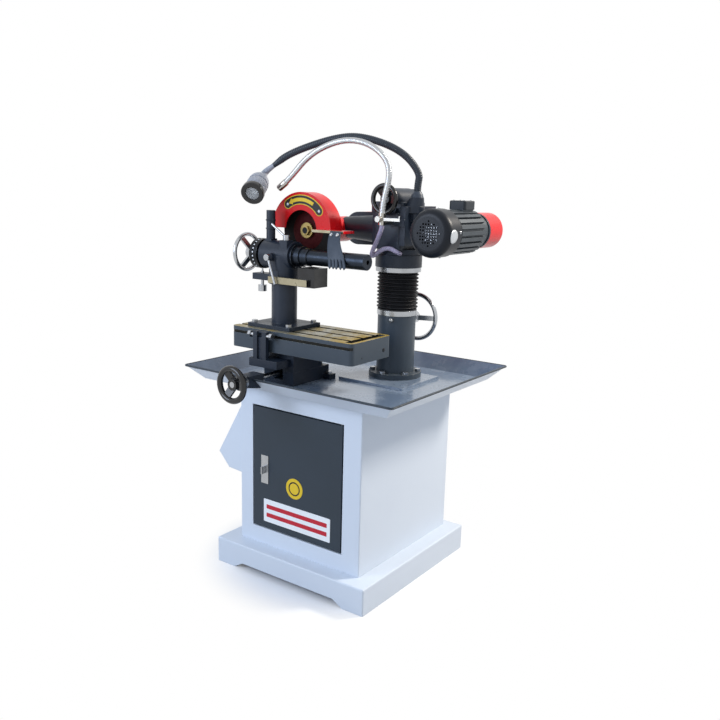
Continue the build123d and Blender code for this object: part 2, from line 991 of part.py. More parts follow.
with BuildPart() as tray:
    with BuildSketch(at_z(cabinet_top_z)):
        with Locations((0, cabinet_setback)):
            Rectangle(floor_width, floor_depth)
    with BuildSketch(at_z(tray_rim_z)):
        with Locations((0, cabinet_setback)):
            Rectangle(tray_width, tray_depth)
    loft()
    with BuildSketch(at_z(tray_floor_z)):
        with Locations((0, cabinet_setback)):
            Rectangle(floor_width + inner_grow, floor_depth + inner_grow)
    with BuildSketch(at_z(tray_rim_z)):
        with Locations((0, cabinet_setback)):
            Rectangle(tray_width - 2 * tray_wall, tray_depth - 2 * tray_wall)
    loft(mode=Mode.SUBTRACT)
    block(
        column_x - pad_width / 2,
        column_x + pad_width / 2,
        pad_front_y,
        pad_front_y + pad_depth,
        tray_floor_z,
        pad_top_z,
    )
    rod_z(cabinet_top_z - drain_length, cabinet_top_z, drain_x, drain_y, drain_radius)
    rod_z(
        cabinet_top_z - drain_length,
        tray_floor_z,
        drain_x,
        drain_y,
        drain_bore,
        mode=Mode.SUBTRACT,
    )
    block(
        cross_x - bracket_width / 2,
        cross_x + bracket_width / 2,
        tray_front_y,
        tray_front_y + tray_flare + tray_wall,
        sill_z,
        tray_rim_z,
        mode=Mode.SUBTRACT,
    )
    for place in flange_places:
        rod_z(tray_floor_z, pad_top_z, *place, bolt_radius + hole_gap, mode=Mode.SUBTRACT)
    for place in lug_places:
        rod_z(cabinet_top_z, tray_floor_z, *place, bolt_radius + hole_gap, mode=Mode.SUBTRACT)
tray.part.label = "tray"
export_step(tray.part, "parts/tray.step")

# Column: flange, tube, nut shelf inside and a bearing boss behind for the lift shaft
column_bore = column_radius - column_wall
with BuildPart() as column:
    rod_z(pad_top_z, pad_top_z + flange_height, column_x, column_y, flange_radius)
    rod_z(pad_top_z, column_top_z, column_x, column_y, column_radius)
    rod_y(
        column_y,
        column_y + column_radius + lift_boss_reach,
        column_x,
        lift_shaft_z,
        lift_boss_radius,
    )
    rod_z(pad_top_z, column_top_z, column_x, column_y, column_bore, mode=Mode.SUBTRACT)
    rod_z(nut_foot_z - shelf_height, nut_foot_z, column_x, column_y, column_bore)
    rod_z(
        nut_foot_z - shelf_height,
        nut_foot_z,
        column_x,
        column_y,
        shelf_bore,
        mode=Mode.SUBTRACT,
    )
    rod_y(
        column_y,
        column_y + column_radius + lift_boss_reach,
        column_x,
        lift_shaft_z,
        lift_shaft_radius + run_gap,
        mode=Mode.SUBTRACT,
    )
    for place in flange_places:
        rod_z(
            pad_top_z,
            pad_top_z + flange_height,
            *place,
            bolt_radius + hole_gap,
            mode=Mode.SUBTRACT,
        )
column.part.label = "column"
export_step(column.part, "parts/column.step")

# Bolts that hold the column and the cross slide down on the tray
with BuildPart() as foot_bolts:
    hex_bolts(
        at_z(pad_top_z + flange_height),
        flange_places,
        bolt_radius,
        bolt_head_radius,
        bolt_head_height,
        flange_height + pad_height,
    )
    hex_bolts(
        at_z(tray_floor_z + lug_height),
        lug_places,
        bolt_radius,
        bolt_head_radius,
        bolt_head_height,
        lug_height + tray_sheet,
    )
foot_bolts.part.label = "foot_bolts"
export_step(foot_bolts.part, "parts/foot_bolts.step")

# Guide bush on top of the column, with a tall sleeve inside the bellows
with BuildPart() as column_bush:
    rod_z(column_top_z, ring_top_z, column_x, column_y, ring_radius)
    rod_z(column_top_z - register_height, column_top_z, column_x, column_y, column_bore - hole_gap)
    rod_z(ring_top_z, ring_top_z + guide_height, column_x, column_y, guide_radius)
    rod_z(
        column_top_z - register_height,
        ring_top_z + guide_height,
        column_x,
        column_y,
        ram_radius + run_gap,
        mode=Mode.SUBTRACT,
    )
column_bush.part.label = "column_bush"
export_step(column_bush.part, "parts/column_bush.step")

# Bellows between the guide bush and the head collar
pleat = bellows_height / bellows_pleats
fold = [
    (bellows_inner if k % 2 == 0 else bellows_outer, ring_top_z + k * pleat / 2)
    for k in range(2 * bellows_pleats + 1)
]
lining = [(radius - bellows_sheet, z) for radius, z in reversed(fold)]
column_section = Plane(origin=(column_x, column_y, 0), x_dir=(1, 0, 0), z_dir=(0, -1, 0))
column_axis = Axis((column_x, column_y, 0), (0, 0, 1))
with BuildPart() as bellows:
    with BuildSketch(column_section):
        Polygon(*fold, *lining, align=None)
    revolve(axis=column_axis)
bellows.part.label = "bellows"
export_step(bellows.part, "parts/bellows.step")

# Lift ram and the collar it carries
with BuildPart() as lift_ram:
    rod_z(pad_top_z + ram_foot_rise, collar_top_z, column_x, column_y, ram_radius)
lift_ram.part.label = "lift_ram"
export_step(lift_ram.part, "parts/lift_ram.step")

with BuildPart() as head_collar:
    rod_z(
        bellows_top_z,
        bellows_top_z + collar_ring_height,
        column_x,
        column_y,
        collar_ring_radius,
    )
    rod_z(bellows_top_z + collar_ring_height, collar_top_z, column_x, column_y, collar_radius)
    rod_z(
        bellows_top_z,
        collar_top_z,
        column_x,
        column_y,
        ram_radius + run_gap,
        mode=Mode.SUBTRACT,
    )
head_collar.part.label = "head_collar"
export_step(head_collar.part, "parts/head_collar.step")

# Lift nut: its crown teeth meet the pinion at the rear of the column
crown_inner = crown_radius - crown_face / 2
crown_outer = crown_radius + crown_face / 2
tooth_height = tooth_addendum + tooth_dedendum
with BuildPart() as lift_nut:
    rod_z(nut_foot_z, nut_foot_z + nut_height, column_x, column_y, crown_outer)
    with BuildSketch(at_z(nut_foot_z + nut_height)):
        with Locations((column_x, column_y)):
            with PolarLocations(crown_radius, crown_teeth, start_angle=90 + 180 / crown_teeth):
                Rectangle(crown_face - run_gap, tooth_thickness)
    extrude(amount=tooth_height)
    rod_z(
        nut_foot_z,
        nut_foot_z + nut_height + tooth_height,
        column_x,
        column_y,
        ram_radius + run_gap,
        mode=Mode.SUBTRACT,
    )
lift_nut.part.label = "lift_nut"
export_step(lift_nut.part, "parts/lift_nut.step")

# Lift shaft with its pinion, and the handwheel behind the column
pinion_back_y = column_y + crown_outer
boss_back_y = column_y + column_radius + lift_boss_reach
lift_hub_y = boss_back_y + side_gap + lift_hub_length / 2
with BuildPart() as lift_shaft:
    rod_y(
        column_y + crown_inner,
        pinion_back_y,
        column_x,
        lift_shaft_z,
        pinion_radius - tooth_dedendum,
    )
    rod_y(
        column_y + crown_inner,
        lift_hub_y + lift_hub_length / 2,
        column_x,
        lift_shaft_z,
        lift_shaft_radius,
    )
    with BuildSketch(at_y(pinion_back_y)):
        with Locations((column_x, lift_shaft_z)):
            with PolarLocations(pinion_radius - tooth_height / 2, pinion_teeth, start_angle=-90):
                Rectangle(2 * tooth_addendum + tooth_height, tooth_thickness)
    extrude(amount=crown_face)
lift_shaft.part.label = "lift_shaft"
export_step(lift_shaft.part, "parts/lift_shaft.step")

lift_handwheel = handwheel(
    Plane(
        origin=(column_x, lift_hub_y + lift_wheel_dish / 2, lift_shaft_z),
        x_dir=(1, 0, 0),
        z_dir=(0, 1, 0),
    ),
    lift_wheel_radius,
    lift_wheel_wire,
    lift_hub_radius,
    lift_hub_length,
    lift_wheel_dish,
    lift_shaft_radius + run_gap,
    turned_spoke_width,
)
lift_handwheel.label = "lift_handwheel"
export_step(lift_handwheel, "parts/lift_handwheel.step")

# Cross slide base: a slot along the middle takes the feed screw and its nut
slot_floor_z = tray_floor_z + screw_slot_floor
with BuildPart() as cross_base:
    block(slide_left_x, slide_right_x, saddle_front_y, base_back_y, tray_floor_z, base_top_z)
    way(
        at_y(base_back_y),
        cross_x,
        base_top_z,
        cross_way_width,
        cross_way_height,
        cross_way_lean,
        base_back_y - saddle_front_y,
    )
    block(
        slide_left_x - lug_width,
        slide_right_x + lug_width,
        base_back_y - lug_depth,
        base_back_y,
        tray_floor_z,
        tray_floor_z + lug_height,
    )
    block(
        cross_x - screw_slot_width / 2,
        cross_x + screw_slot_width / 2,
        saddle_front_y,
        base_back_y - screw_web,
        slot_floor_z,
        base_top_z + cross_way_height,
        mode=Mode.SUBTRACT,
    )
    rod_y(
        base_back_y - screw_web,
        base_back_y,
        cross_x,
        screw_z,
        screw_radius + run_gap,
        mode=Mode.SUBTRACT,
    )
    for place in lug_places:
        rod_z(
            tray_floor_z,
            tray_floor_z + lug_height,
            *place,
            bolt_radius + hole_gap,
            mode=Mode.SUBTRACT,
        )
cross_base.part.label = "cross_base"
export_step(cross_base.part, "parts/cross_base.step")

# Saddle: groove below for the base, way above for the table, feed nut in the slot
with BuildPart() as saddle:
    block(slide_left_x, slide_right_x, saddle_front_y, saddle_back_y, base_top_z, saddle_top_z)
    way(
        at_y(saddle_back_y),
        cross_x,
        base_top_z,
        cross_way_width,
        cross_way_height,
        cross_way_lean,
        saddle_length,
        gap=way_gap,
        mode=Mode.SUBTRACT,
    )
    way(
        at_x(slide_left_x),
        cross_y,
        saddle_top_z,
        table_way_width,
        table_way_height,
        table_way_lean,
        slide_width,
    )
    block(
        cross_x - cross_nut_width / 2,
        cross_x + cross_nut_width / 2,
        cross_y - cross_nut_length / 2,
        cross_y + cross_nut_length / 2,
        screw_z - cross_nut_height / 2,
        base_top_z + cross_way_height + 2 * way_gap,
    )
    rod_y(
        cross_y - cross_nut_length / 2,
        cross_y + cross_nut_length / 2,
        cross_x,
        screw_z,
        screw_radius + run_gap,
        mode=Mode.SUBTRACT,
    )
saddle.part.label = "saddle"
export_step(saddle.part, "parts/saddle.step")

# Bracket in the tray's front wall that carries the feed screw
bracket_back_y = tray_front_y + bracket_inset
with BuildPart() as screw_bracket:
    with BuildSketch(at_x(cross_x - bracket_width / 2)):
        Polygon(
            (bracket_back_y, sill_z),
            (bracket_back_y, tray_floor_z + bracket_height),
            (bracket_front_y, tray_floor_z + bracket_height),
            (bracket_front_y, tray_floor_z + bracket_toe),
            (bracket_back_y - bracket_toe, sill_z),
            align=None,
        )
    extrude(amount=bracket_width)
    rod_y(
        bracket_front_y,
        bracket_back_y,
        cross_x,
        screw_z,
        screw_radius + run_gap,
        mode=Mode.SUBTRACT,
    )
screw_bracket.part.label = "screw_bracket"
export_step(screw_bracket.part, "parts/screw_bracket.step")

# Feed screw with its dial, and the black handwheel in front of the tray
dial_back_y = bracket_front_y - side_gap
cross_hub_y = dial_back_y - dial_length - cross_wheel_gap - cross_hub_length / 2
with BuildPart() as cross_screw:
    rod_y(
        cross_hub_y - cross_hub_length / 2,
        base_back_y - screw_web / 2,
        cross_x,
        screw_z,
        screw_radius,
    )
    rod_y(dial_back_y - dial_length, dial_back_y, cross_x, screw_z, dial_radius)
cross_screw.part.label = "cross_screw"
export_step(cross_screw.part, "parts/cross_screw.step")

cross_handwheel = handwheel(
    at_y(cross_hub_y - cross_wheel_dish / 2).shift_origin(
        (cross_x, cross_hub_y - cross_wheel_dish / 2, screw_z)
    ),
    cross_wheel_radius,
    cross_wheel_wire,
    cross_hub_radius,
    cross_hub_length,
    cross_wheel_dish,
    screw_radius + run_gap,
    moulded_spoke_width,
)
cross_handwheel.label = "cross_handwheel"
export_step(cross_handwheel, "parts/cross_handwheel.step")

# Stop bracket bolted to the front of the saddle, with two adjusting screws
stop_block_x = cross_x + stop_block_offset
stop_post_x = cross_x + stop_post_offset
stop_foot_z = base_top_z + cross_way_height + side_gap
stop_sole_z = stop_foot_z + stop_block_height
stop_post_back_y = table_front_y - stop_post_clear
stop_post_front_y = stop_post_back_y - stop_post_depth
stop_screw_z = stop_sole_z + stop_post_height - stop_screw_drop
stop_screw_y = (stop_post_front_y + stop_post_back_y) / 2
stop_post_left_x = stop_post_x - stop_post_width / 2
stop_post_right_x = stop_post_x + stop_post_width / 2
with BuildPart() as stop_bracket:
    block(
        stop_block_x - stop_block_width / 2,
        stop_block_x + stop_block_width / 2,
        saddle_front_y - stop_block_depth,
        saddle_front_y,
        stop_foot_z,
        stop_sole_z,
    )
    block(
        stop_post_left_x,
        stop_post_right_x,
        stop_post_front_y,
        stop_post_back_y,
        stop_sole_z,
        stop_sole_z + stop_post_height,
    )
    block(
        stop_post_x - stop_groove_width / 2,
        stop_post_x + stop_groove_width / 2,
        stop_post_front_y,
        stop_post_front_y + stop_groove_depth,
        stop_sole_z,
        stop_sole_z + stop_post_height,
        mode=Mode.SUBTRACT,
    )
    rod_x(
        stop_post_left_x,
        stop_post_right_x,
        stop_screw_y,
        stop_screw_z,
        stop_screw_radius + hole_gap,
        mode=Mode.SUBTRACT,
    )
stop_bracket.part.label = "stop_bracket"
export_step(stop_bracket.part, "parts/stop_bracket.step")

stop_left_plane = Plane(
    origin=(stop_post_left_x - stop_head_gap, stop_screw_y, stop_screw_z),
    x_dir=(0, 1, 0),
    z_dir=(-1, 0, 0),
)
stop_right_plane = Plane(
    origin=(stop_post_right_x + stop_head_gap, stop_screw_y, stop_screw_z),
    x_dir=(0, 1, 0),
    z_dir=(1, 0, 0),
)
with BuildPart() as stop_screws:
    for plane in (stop_left_plane, stop_right_plane):
        hex_bolts(
            plane,
            [(0, 0)],
            stop_screw_radius,
            stop_head_radius,
            stop_head_height,
            stop_screw_length,
        )
stop_screws.part.label = "stop_screws"
export_step(stop_screws.part, "parts/stop_screws.step")

# Table with three tee slots that end in an oil trough, a groove along each long side, and a way
# groove below that stops short of the right end
table_left_x = table_x - table_width / 2
table_right_x = table_x + table_width / 2
slot_end_x = table_right_x - trough_wall - trough_width
slot_depth = slot_neck + slot_head_height
with BuildPart() as table:
    block(
        table_left_x,
        table_right_x,
        table_front_y,
        table_front_y + table_depth,
        saddle_top_z,
        table_top_z,
    )
    fillet(table.edges().filter_by(Axis.Z), table_corner)
    way(
        at_x(table_left_x),
        cross_y,
        saddle_top_z,
        table_way_width,
        table_way_height,
        table_way_lean,
        table_width - table_end_wall,
        gap=way_gap,
        mode=Mode.SUBTRACT,
    )
    for k in (-1, 0, 1):
        slot_y = cross_y + k * slot_pitch
        block(
            table_left_x,
            slot_end_x,
            slot_y - slot_width / 2,
            slot_y + slot_width / 2,
            table_top_z - slot_neck,
            table_top_z,
            mode=Mode.SUBTRACT,
        )
        block(
            table_left_x,
            slot_end_x,
            slot_y - slot_head_width / 2,
            slot_y + slot_head_width / 2,
            table_top_z - slot_depth,
            table_top_z - slot_neck,
            mode=Mode.SUBTRACT,
        )
    with BuildSketch(at_z(table_top_z)):
        with Locations((slot_end_x + trough_width / 2, cross_y)):
            RectangleRounded(trough_width, table_depth - 2 * trough_wall, slot_width / 2)
    extrude(amount=-slot_depth, mode=Mode.SUBTRACT)
    for side_y in (table_front_y, table_front_y + table_depth):
        block(
            table_left_x,
            table_right_x,
            side_y - table_groove_depth,
            side_y + table_groove_depth,
            table_top_z - table_groove_drop - table_groove_height,
            table_top_z - table_groove_drop,
            mode=Mode.SUBTRACT,
        )
table.part.label = "table"
export_step(table.part, "parts/table.step")

# Work post on its flange plate; the spigot on top carries the work head
post_places = [
    (post_x + kx * post_bolt_span / 2, cross_y + ky * slot_pitch) for kx in (-1, 1) for ky in (-1, 1)
]
with BuildPart() as work_post:
    block(
        post_x - post_plate_width / 2,
        post_x + post_plate_width / 2,
        cross_y - post_plate_depth / 2,
        cross_y + post_plate_depth / 2,
        table_top_z,
        post_foot_z,
    )
    rod_z(post_foot_z, post_top_z, post_x, cross_y, post_radius)
    rod_z(post_top_z, post_top_z + spigot_height, post_x, cross_y, spigot_radius)
    for place in post_places:
        rod_z(table_top_z, post_foot_z, *place, post_bolt_radius + hole_gap, mode=Mode.SUBTRACT)
work_post.part.label = "work_post"
export_step(work_post.part, "parts/work_post.step")

with BuildPart() as post_bolts:
    hex_bolts(
        at_z(post_foot_z),
        post_places,
        post_bolt_radius,
        post_bolt_head_radius,
        post_bolt_head_height,
        post_plate_height + post_bolt_reach,
    )
post_bolts.part.label = "post_bolts"
export_step(post_bolts.part, "parts/post_bolts.step")

# Work head: barrel along X on a boss, with lever studs, finger post and plunger arm
lever_x = post_x + lug_seat_x
lever_y = cross_y + lug_seat_y
lever_z = work_z + lug_seat_rise
finger_post_x = post_x + finger_x
lock_pivot_x = post_x + lock_x
lock_pivot_z = work_z + lock_rise
lock_boss_y = cross_y - lock_boss_reach
arm_foot_z = work_z - plunger_arm_drop
boss_flat_y = cross_y - work_boss_flat
with BuildPart() as work_head:
    rod_x(work_tail_x, work_nose_x, cross_y, work_z, work_body_radius)
    rod_z(post_top_z, work_z, post_x, cross_y, work_boss_radius)
    block(
        post_x - plunger_arm_reach,
        post_x,
        cross_y - plunger_arm_width / 2,
        cross_y + plunger_arm_width / 2,
        arm_foot_z,
        arm_foot_z + plunger_arm_height,
    )
    block(
        lever_x - lug_seat_size / 2,
        lever_x + lug_seat_size / 2,
        lever_y - lug_seat_size / 2,
        lever_y + lug_seat_size / 2,
        work_z,
        lever_z,
    )
    rod_z(lever_z, lever_z + stud_height, lever_x, lever_y, stud_radius)
    block(
        finger_post_x - finger_seat / 2,
        finger_post_x + finger_seat / 2,
        cross_y - finger_seat / 2,
        cross_y + finger_seat / 2,
        work_z,
        lever_z,
    )
    rod_z(work_z, work_z + finger_height, finger_post_x, cross_y, finger_radius)
    for k in range(finger_ring_count):
        ring_foot_z = work_z + finger_height - finger_ring_drop - k * finger_ring_pitch
        rod_z(ring_foot_z, ring_foot_z + finger_ring_height, finger_post_x, cross_y, finger_ring_radius)
    rod_y(lock_boss_y, cross_y, lock_pivot_x, lock_pivot_z, lock_boss_radius)
    rod_y(lock_boss_y - stud_height, lock_boss_y, lock_pivot_x, lock_pivot_z, stud_radius)
    block(
        post_x - work_boss_radius,
        post_x + work_boss_radius,
        cross_y - work_boss_radius,
        boss_flat_y,
        post_top_z,
        work_z - work_body_radius,
        mode=Mode.SUBTRACT,
    )
    rod_x(work_tail_x, work_nose_x, cross_y, work_z, work_bore + run_gap, mode=Mode.SUBTRACT)
    rod_z(
        post_top_z,
        post_top_z + spigot_height + side_gap,
        post_x,
        cross_y,
        spigot_radius + run_gap,
        mode=Mode.SUBTRACT,
    )
    rod_z(
        arm_foot_z,
        arm_foot_z + plunger_arm_height,
        index_x,
        cross_y,
        plunger_radius + run_gap,
        mode=Mode.SUBTRACT,
    )
work_head.part.label = "work_head"
export_step(work_head.part, "parts/work_head.step")

# Flat bar on the boss with the tooth rest block at its end
rest_foot_z = post_top_z + rest_bar_rise
rest_start_x = post_x + rest_block_start
with BuildPart() as tooth_rest:
    block(
        post_x - rest_bar_tail,
        post_x + rest_bar_reach,
        boss_flat_y - rest_bar_depth,
        boss_flat_y,
        rest_foot_z,
        rest_foot_z + rest_bar_height,
    )
    block(
        rest_start_x,
        rest_start_x + rest_block_width,
        boss_flat_y - side_gap,
        boss_flat_y + rest_block_depth,
        rest_foot_z - rest_block_drop,
        rest_foot_z - rest_block_drop + rest_block_height,
    )
tooth_rest.part.label = "tooth_rest"
export_step(tooth_rest.part, "parts/tooth_rest.step")

# Levers that lock the swivel and the spindle
with BuildPart() as swivel_lever:
    rod_z(lever_z, lever_z + lever_hub_height, lever_x, lever_y, lever_hub_radius)
    rod_between(
        (lever_x, lever_y, lever_z + lever_hub_height / 2),
        (
            lever_x - swivel_lever_run,
            lever_y,
            lever_z + lever_hub_height / 2 + swivel_lever_lift,
        ),
        lever_rod_radius,
    )
    rod_z(
        lever_z,
        lever_z + stud_height + run_gap,
        lever_x,
        lever_y,
        stud_radius + run_gap,
        mode=Mode.SUBTRACT,
    )
swivel_lever.part.label = "swivel_lever"
export_step(swivel_lever.part, "parts/swivel_lever.step")

lock_lever_y = lock_boss_y - lock_hub_height / 2
with BuildPart() as spindle_lever:
    rod_y(
        lock_boss_y - stud_height - side_gap,
        lock_boss_y,
        lock_pivot_x,
        lock_pivot_z,
        lever_hub_radius,
    )
    rod_between(
        (lock_pivot_x, lock_lever_y, lock_pivot_z),
        (lock_pivot_x + lock_lever_run, lock_lever_y, lock_pivot_z - lock_lever_drop),
        lock_rod_radius,
    )
    rod_y(
        lock_boss_y - stud_height - run_gap,
        lock_boss_y,
        lock_pivot_x,
        lock_pivot_z,
        stud_radius + run_gap,
        mode=Mode.SUBTRACT,
    )
spindle_lever.part.label = "spindle_lever"
export_step(spindle_lever.part, "parts/spindle_lever.step")

# Index plunger under the ring of holes
plunger_top_z = work_z - index_radius - plunger_tip_gap
plunger_rod_z = plunger_top_z - plunger_tip_length
with BuildPart() as index_plunger:
    rod_z(plunger_rod_z, plunger_top_z, index_x, cross_y, plunger_tip_radius)
    rod_z(plunger_rod_z - plunger_length, plunger_rod_z, index_x, cross_y, plunger_radius)
    rod_z(
        plunger_rod_z - plunger_length - plunger_knob_height,
        plunger_rod_z - plunger_length,
        index_x,
        cross_y,
        plunger_knob_radius,
    )
index_plunger.part.label = "index_plunger"
export_step(index_plunger.part, "parts/index_plunger.step")

# Work spindle: stepped nose and arbor to the right, tail for the index ring and handwheel
arbor_start_x = work_nose_x + sum(nose_lengths)
arbor_end_x = arbor_start_x + arbor_length
index_back_x = index_x - index_length / 2
work_hub_x = index_back_x - work_wheel_gap - work_hub_length / 2
with BuildPart() as work_spindle:
    rod_x(work_tail_x, work_nose_x, cross_y, work_z, work_bore)
    for k, radius in enumerate(nose_radii):
        step_x = work_nose_x + sum(nose_lengths[:k])
        rod_x(step_x, step_x + nose_lengths[k], cross_y, work_z, radius)
    rod_x(arbor_start_x, arbor_end_x, cross_y, work_z, arbor_radius)
    chamfer(work_spindle.faces().sort_by(Axis.X)[-1].edges(), arbor_edge)
    rod_x(
        arbor_end_x - arbor_screw_depth,
        arbor_end_x,
        cross_y,
        work_z,
        arbor_screw_radius,
        mode=Mode.SUBTRACT,
    )
    rod_x(index_back_x, work_tail_x, cross_y, work_z, tail_radius)
    rod_x(work_hub_x - work_hub_length / 2, index_back_x, cross_y, work_z, grip_shaft_radius)
work_spindle.part.label = "work_spindle"
export_step(work_spindle.part, "parts/work_spindle.step")

index_plane = at_x(index_back_x).shift_origin((index_back_x, cross_y, work_z))
with BuildPart(index_plane) as index_ring:
    with BuildSketch(index_plane):
        Circle(index_radius)
        Circle(tail_radius + run_gap, mode=Mode.SUBTRACT)
    extrude(amount=index_length)
    with Locations((0, 0, index_length / 2)):
        with PolarLocations(index_radius - index_hole_depth / 2, index_holes):
            Cylinder(index_hole_radius, index_hole_depth, rotation=(0, 90, 0), mode=Mode.SUBTRACT)
index_ring.part.label = "index_ring"
export_step(index_ring.part, "parts/index_ring.step")

work_handwheel = handwheel(
    Plane(
        origin=(work_hub_x - work_wheel_dish / 2, cross_y, work_z),
        x_dir=(0, 1, 0),
        z_dir=(-1, 0, 0),
    ),
    work_wheel_radius,
    work_wheel_wire,
    work_hub_radius,
    work_hub_length,
    work_wheel_dish,
    grip_shaft_radius + run_gap,
    turned_spoke_width,
)
work_handwheel.label = "work_handwheel"
export_step(work_handwheel, "parts/work_handwheel.step")

# Head base: turret on the collar, block with a way on top, upright nut for the infeed screw
head_front_y = column_y - head_front
head_back_y = column_y + head_rear
infeed_nut_y = column_y + infeed_nut_start
with BuildPart() as head_base:
    rod_z(collar_top_z, collar_top_z + turret_height, column_x, column_y, turret_radius)
    block(
        column_x - head_half_width,
        column_x + head_half_width,
        head_front_y,
        head_back_y,
        collar_top_z + turret_height,
        head_top_z,
    )
    block_edges = head_base.edges().filter_by(Axis.Z)
    fillet(block_edges.filter_by_position(Axis.Z, collar_top_z + turret_height, head_top_z), casting_edge)
    way(
        at_y(head_back_y),
        column_x,
        head_top_z,
        head_way_width,
        head_way_height,
        head_way_lean,
        head_front + head_rear,
    )
    block(
        column_x - infeed_nut_width / 2,
        column_x + infeed_nut_width / 2,
        infeed_nut_y,
        infeed_nut_y + infeed_nut_length,
        head_top_z,
        head_top_z + infeed_nut_height,
    )
    rod_y(
        infeed_nut_y,
        infeed_nut_y + infeed_nut_length,
        column_x,
        infeed_z,
        infeed_screw_radius + run_gap,
        mode=Mode.SUBTRACT,
    )
head_base.part.label = "head_base"
export_step(head_base.part, "parts/head_base.step")

# Head carriage: cap over the way, two cheeks with a boss for the lamp, neck to the spindle tube,
# plate for the belt drive
cap_front_y = column_y - cap_front
cap_back_y = column_y + cap_rear
cheek_foot_z = head_top_z - cheek_drop
left_cheek_x = column_x - head_half_width - side_gap
right_cheek_x = column_x + head_half_width + side_gap
neck_z = collar_top_z + neck_rise
neck_y = column_y + neck_offset
belt_back_y = belt_plate_y + belt_plate_sheet
tube_bore_radius = bearing_radius + run_gap
lamp_base_x = column_x + lamp_x
lamp_base_y = column_y + lamp_y
lamp_foot_z = cheek_top_z + lamp_cone_height


def neck(gap=0.0, mode=Mode.ADD):
    """Add the tapered neck from the left cheek to the spindle tube, or cut room for it."""
    with BuildSketch(at_x(spindle_x + neck_start)) as tip:
        with Locations((neck_y, neck_z)):
            Circle(neck_tip_radius + gap)
    with BuildSketch(at_x(left_cheek_x - cheek_sheet / 2)) as root:
        with Locations((neck_y, neck_z)):
            Circle(neck_root_radius + gap)
    loft(sections=[tip.sketch, root.sketch], mode=mode)


with BuildPart() as head_carriage:
    block(column_x - cap_left, column_x + cap_right, cap_front_y, cap_back_y, head_top_z, cap_top_z)
    fillet(head_carriage.edges().filter_by(Axis.Z), casting_edge)
    fillet(head_carriage.faces().sort_by(Axis.Z)[-1].edges(), casting_edge / 2)
    rod_y(cap_front_y, cap_back_y, column_x, infeed_z, quill_radius)
    block(
        left_cheek_x - cheek_sheet,
        left_cheek_x,
        column_y - left_cheek_front,
        belt_plate_y,
        cheek_foot_z,
        cheek_top_z,
    )
    block(
        right_cheek_x,
        right_cheek_x + cheek_sheet,
        column_y - right_cheek_front,
        belt_plate_y,
        cheek_foot_z,
        cheek_top_z,
    )
    rod_z(cheek_top_z - lamp_boss_height, cheek_top_z, lamp_base_x, lamp_base_y, lamp_boss_radius)
    with BuildSketch(at_z(head_top_z)):
        with Locations((lamp_base_x - lamp_cone_lean, lamp_base_y)):
            Circle(lamp_cone_radii[0])
    with BuildSketch(at_z(lamp_foot_z)):
        with Locations((lamp_base_x, lamp_base_y)):
            Circle(lamp_cone_radii[1])
    loft()
    neck()
    rod_y(spindle_front_y, belt_plate_y, spindle_x, spindle_z, spindle_tube_radius)
    with BuildSketch(at_y(belt_plate_y)):
        with Locations((spindle_x, spindle_z), (motor_x, motor_z)):
            Circle(belt_plate_radius)
        make_hull()
    extrude(amount=-belt_plate_sheet)
    way(
        at_y(belt_back_y),
        column_x,
        head_top_z,
        head_way_width,
        head_way_height,
        head_way_lean,
        belt_back_y - head_front_y,
        gap=way_gap,
        mode=Mode.SUBTRACT,
    )
    block(
        column_x - infeed_nut_width / 2 - side_gap,
        column_x + infeed_nut_width / 2 + side_gap,
        infeed_nut_y - side_gap,
        cap_back_y,
        head_top_z,
        infeed_z + quill_radius,
        mode=Mode.SUBTRACT,
    )
    rod_y(
        cap_front_y,
        cap_back_y,
        column_x,
        infeed_z,
        infeed_screw_radius + run_gap,
        mode=Mode.SUBTRACT,
    )
    rod_y(spindle_front_y, belt_back_y, spindle_x, spindle_z, tube_bore_radius, mode=Mode.SUBTRACT)
    rod_y(
        belt_plate_y,
        belt_back_y,
        motor_x,
        motor_z,
        motor_shaft_radius + side_gap,
        mode=Mode.SUBTRACT,
    )
head_carriage.part.label = "head_carriage"
export_step(head_carriage.part, "parts/head_carriage.step")

# Infeed screw and its small handwheel, turned as one
infeed_hub_y = cap_front_y - side_gap - infeed_hub_length / 2
infeed_tail_y = infeed_nut_y + infeed_nut_length + infeed_screw_tail
infeed_wheel_y = infeed_hub_y - infeed_wheel_dish / 2
infeed_wheel = handwheel(
    at_y(infeed_wheel_y).shift_origin((column_x, infeed_wheel_y, infeed_z)),
    infeed_wheel_radius,
    infeed_wheel_wire,
    infeed_hub_radius,
    infeed_hub_length,
    infeed_wheel_dish,
    infeed_screw_radius,
    moulded_spoke_width,
)
with BuildPart() as infeed_handwheel:
    add(infeed_wheel)
    rod_y(
        infeed_hub_y - infeed_hub_length / 2,
        infeed_tail_y,
        column_x,
        infeed_z,
        infeed_screw_radius,
    )
infeed_handwheel.part.label = "infeed_handwheel"
export_step(infeed_handwheel.part, "parts/infeed_handwheel.step")

# Spindle bearings, one near each end of the tube
bearing_places = (
    spindle_front_y + bearing_inset,
    belt_plate_y - bearing_inset - bearing_length,
)
with BuildPart() as spindle_bearings:
    for bearing_y in bearing_places:
        rod_y(bearing_y, bearing_y + bearing_length, spindle_x, spindle_z, bearing_radius)
    rod_y(
        spindle_front_y,
        belt_plate_y,
        spindle_x,
        spindle_z,
        spindle_radius + run_gap,
        mode=Mode.SUBTRACT,
    )
spindle_bearings.part.label = "spindle_bearings"
export_step(spindle_bearings.part, "parts/spindle_bearings.step")


def pulley(x, z, belt_line):
    """Add a pulley with a flat groove for the belt."""
    groove_y = pulley_y + (pulley_length - groove_width) / 2
    rod_y(pulley_y, pulley_y + pulley_length, x, z, belt_line - belt_gap)
    rod_y(pulley_y, groove_y, x, z, belt_line + pulley_rim)
    rod_y(groove_y + groove_width, pulley_y + pulley_length, x, z, belt_line + pulley_rim)


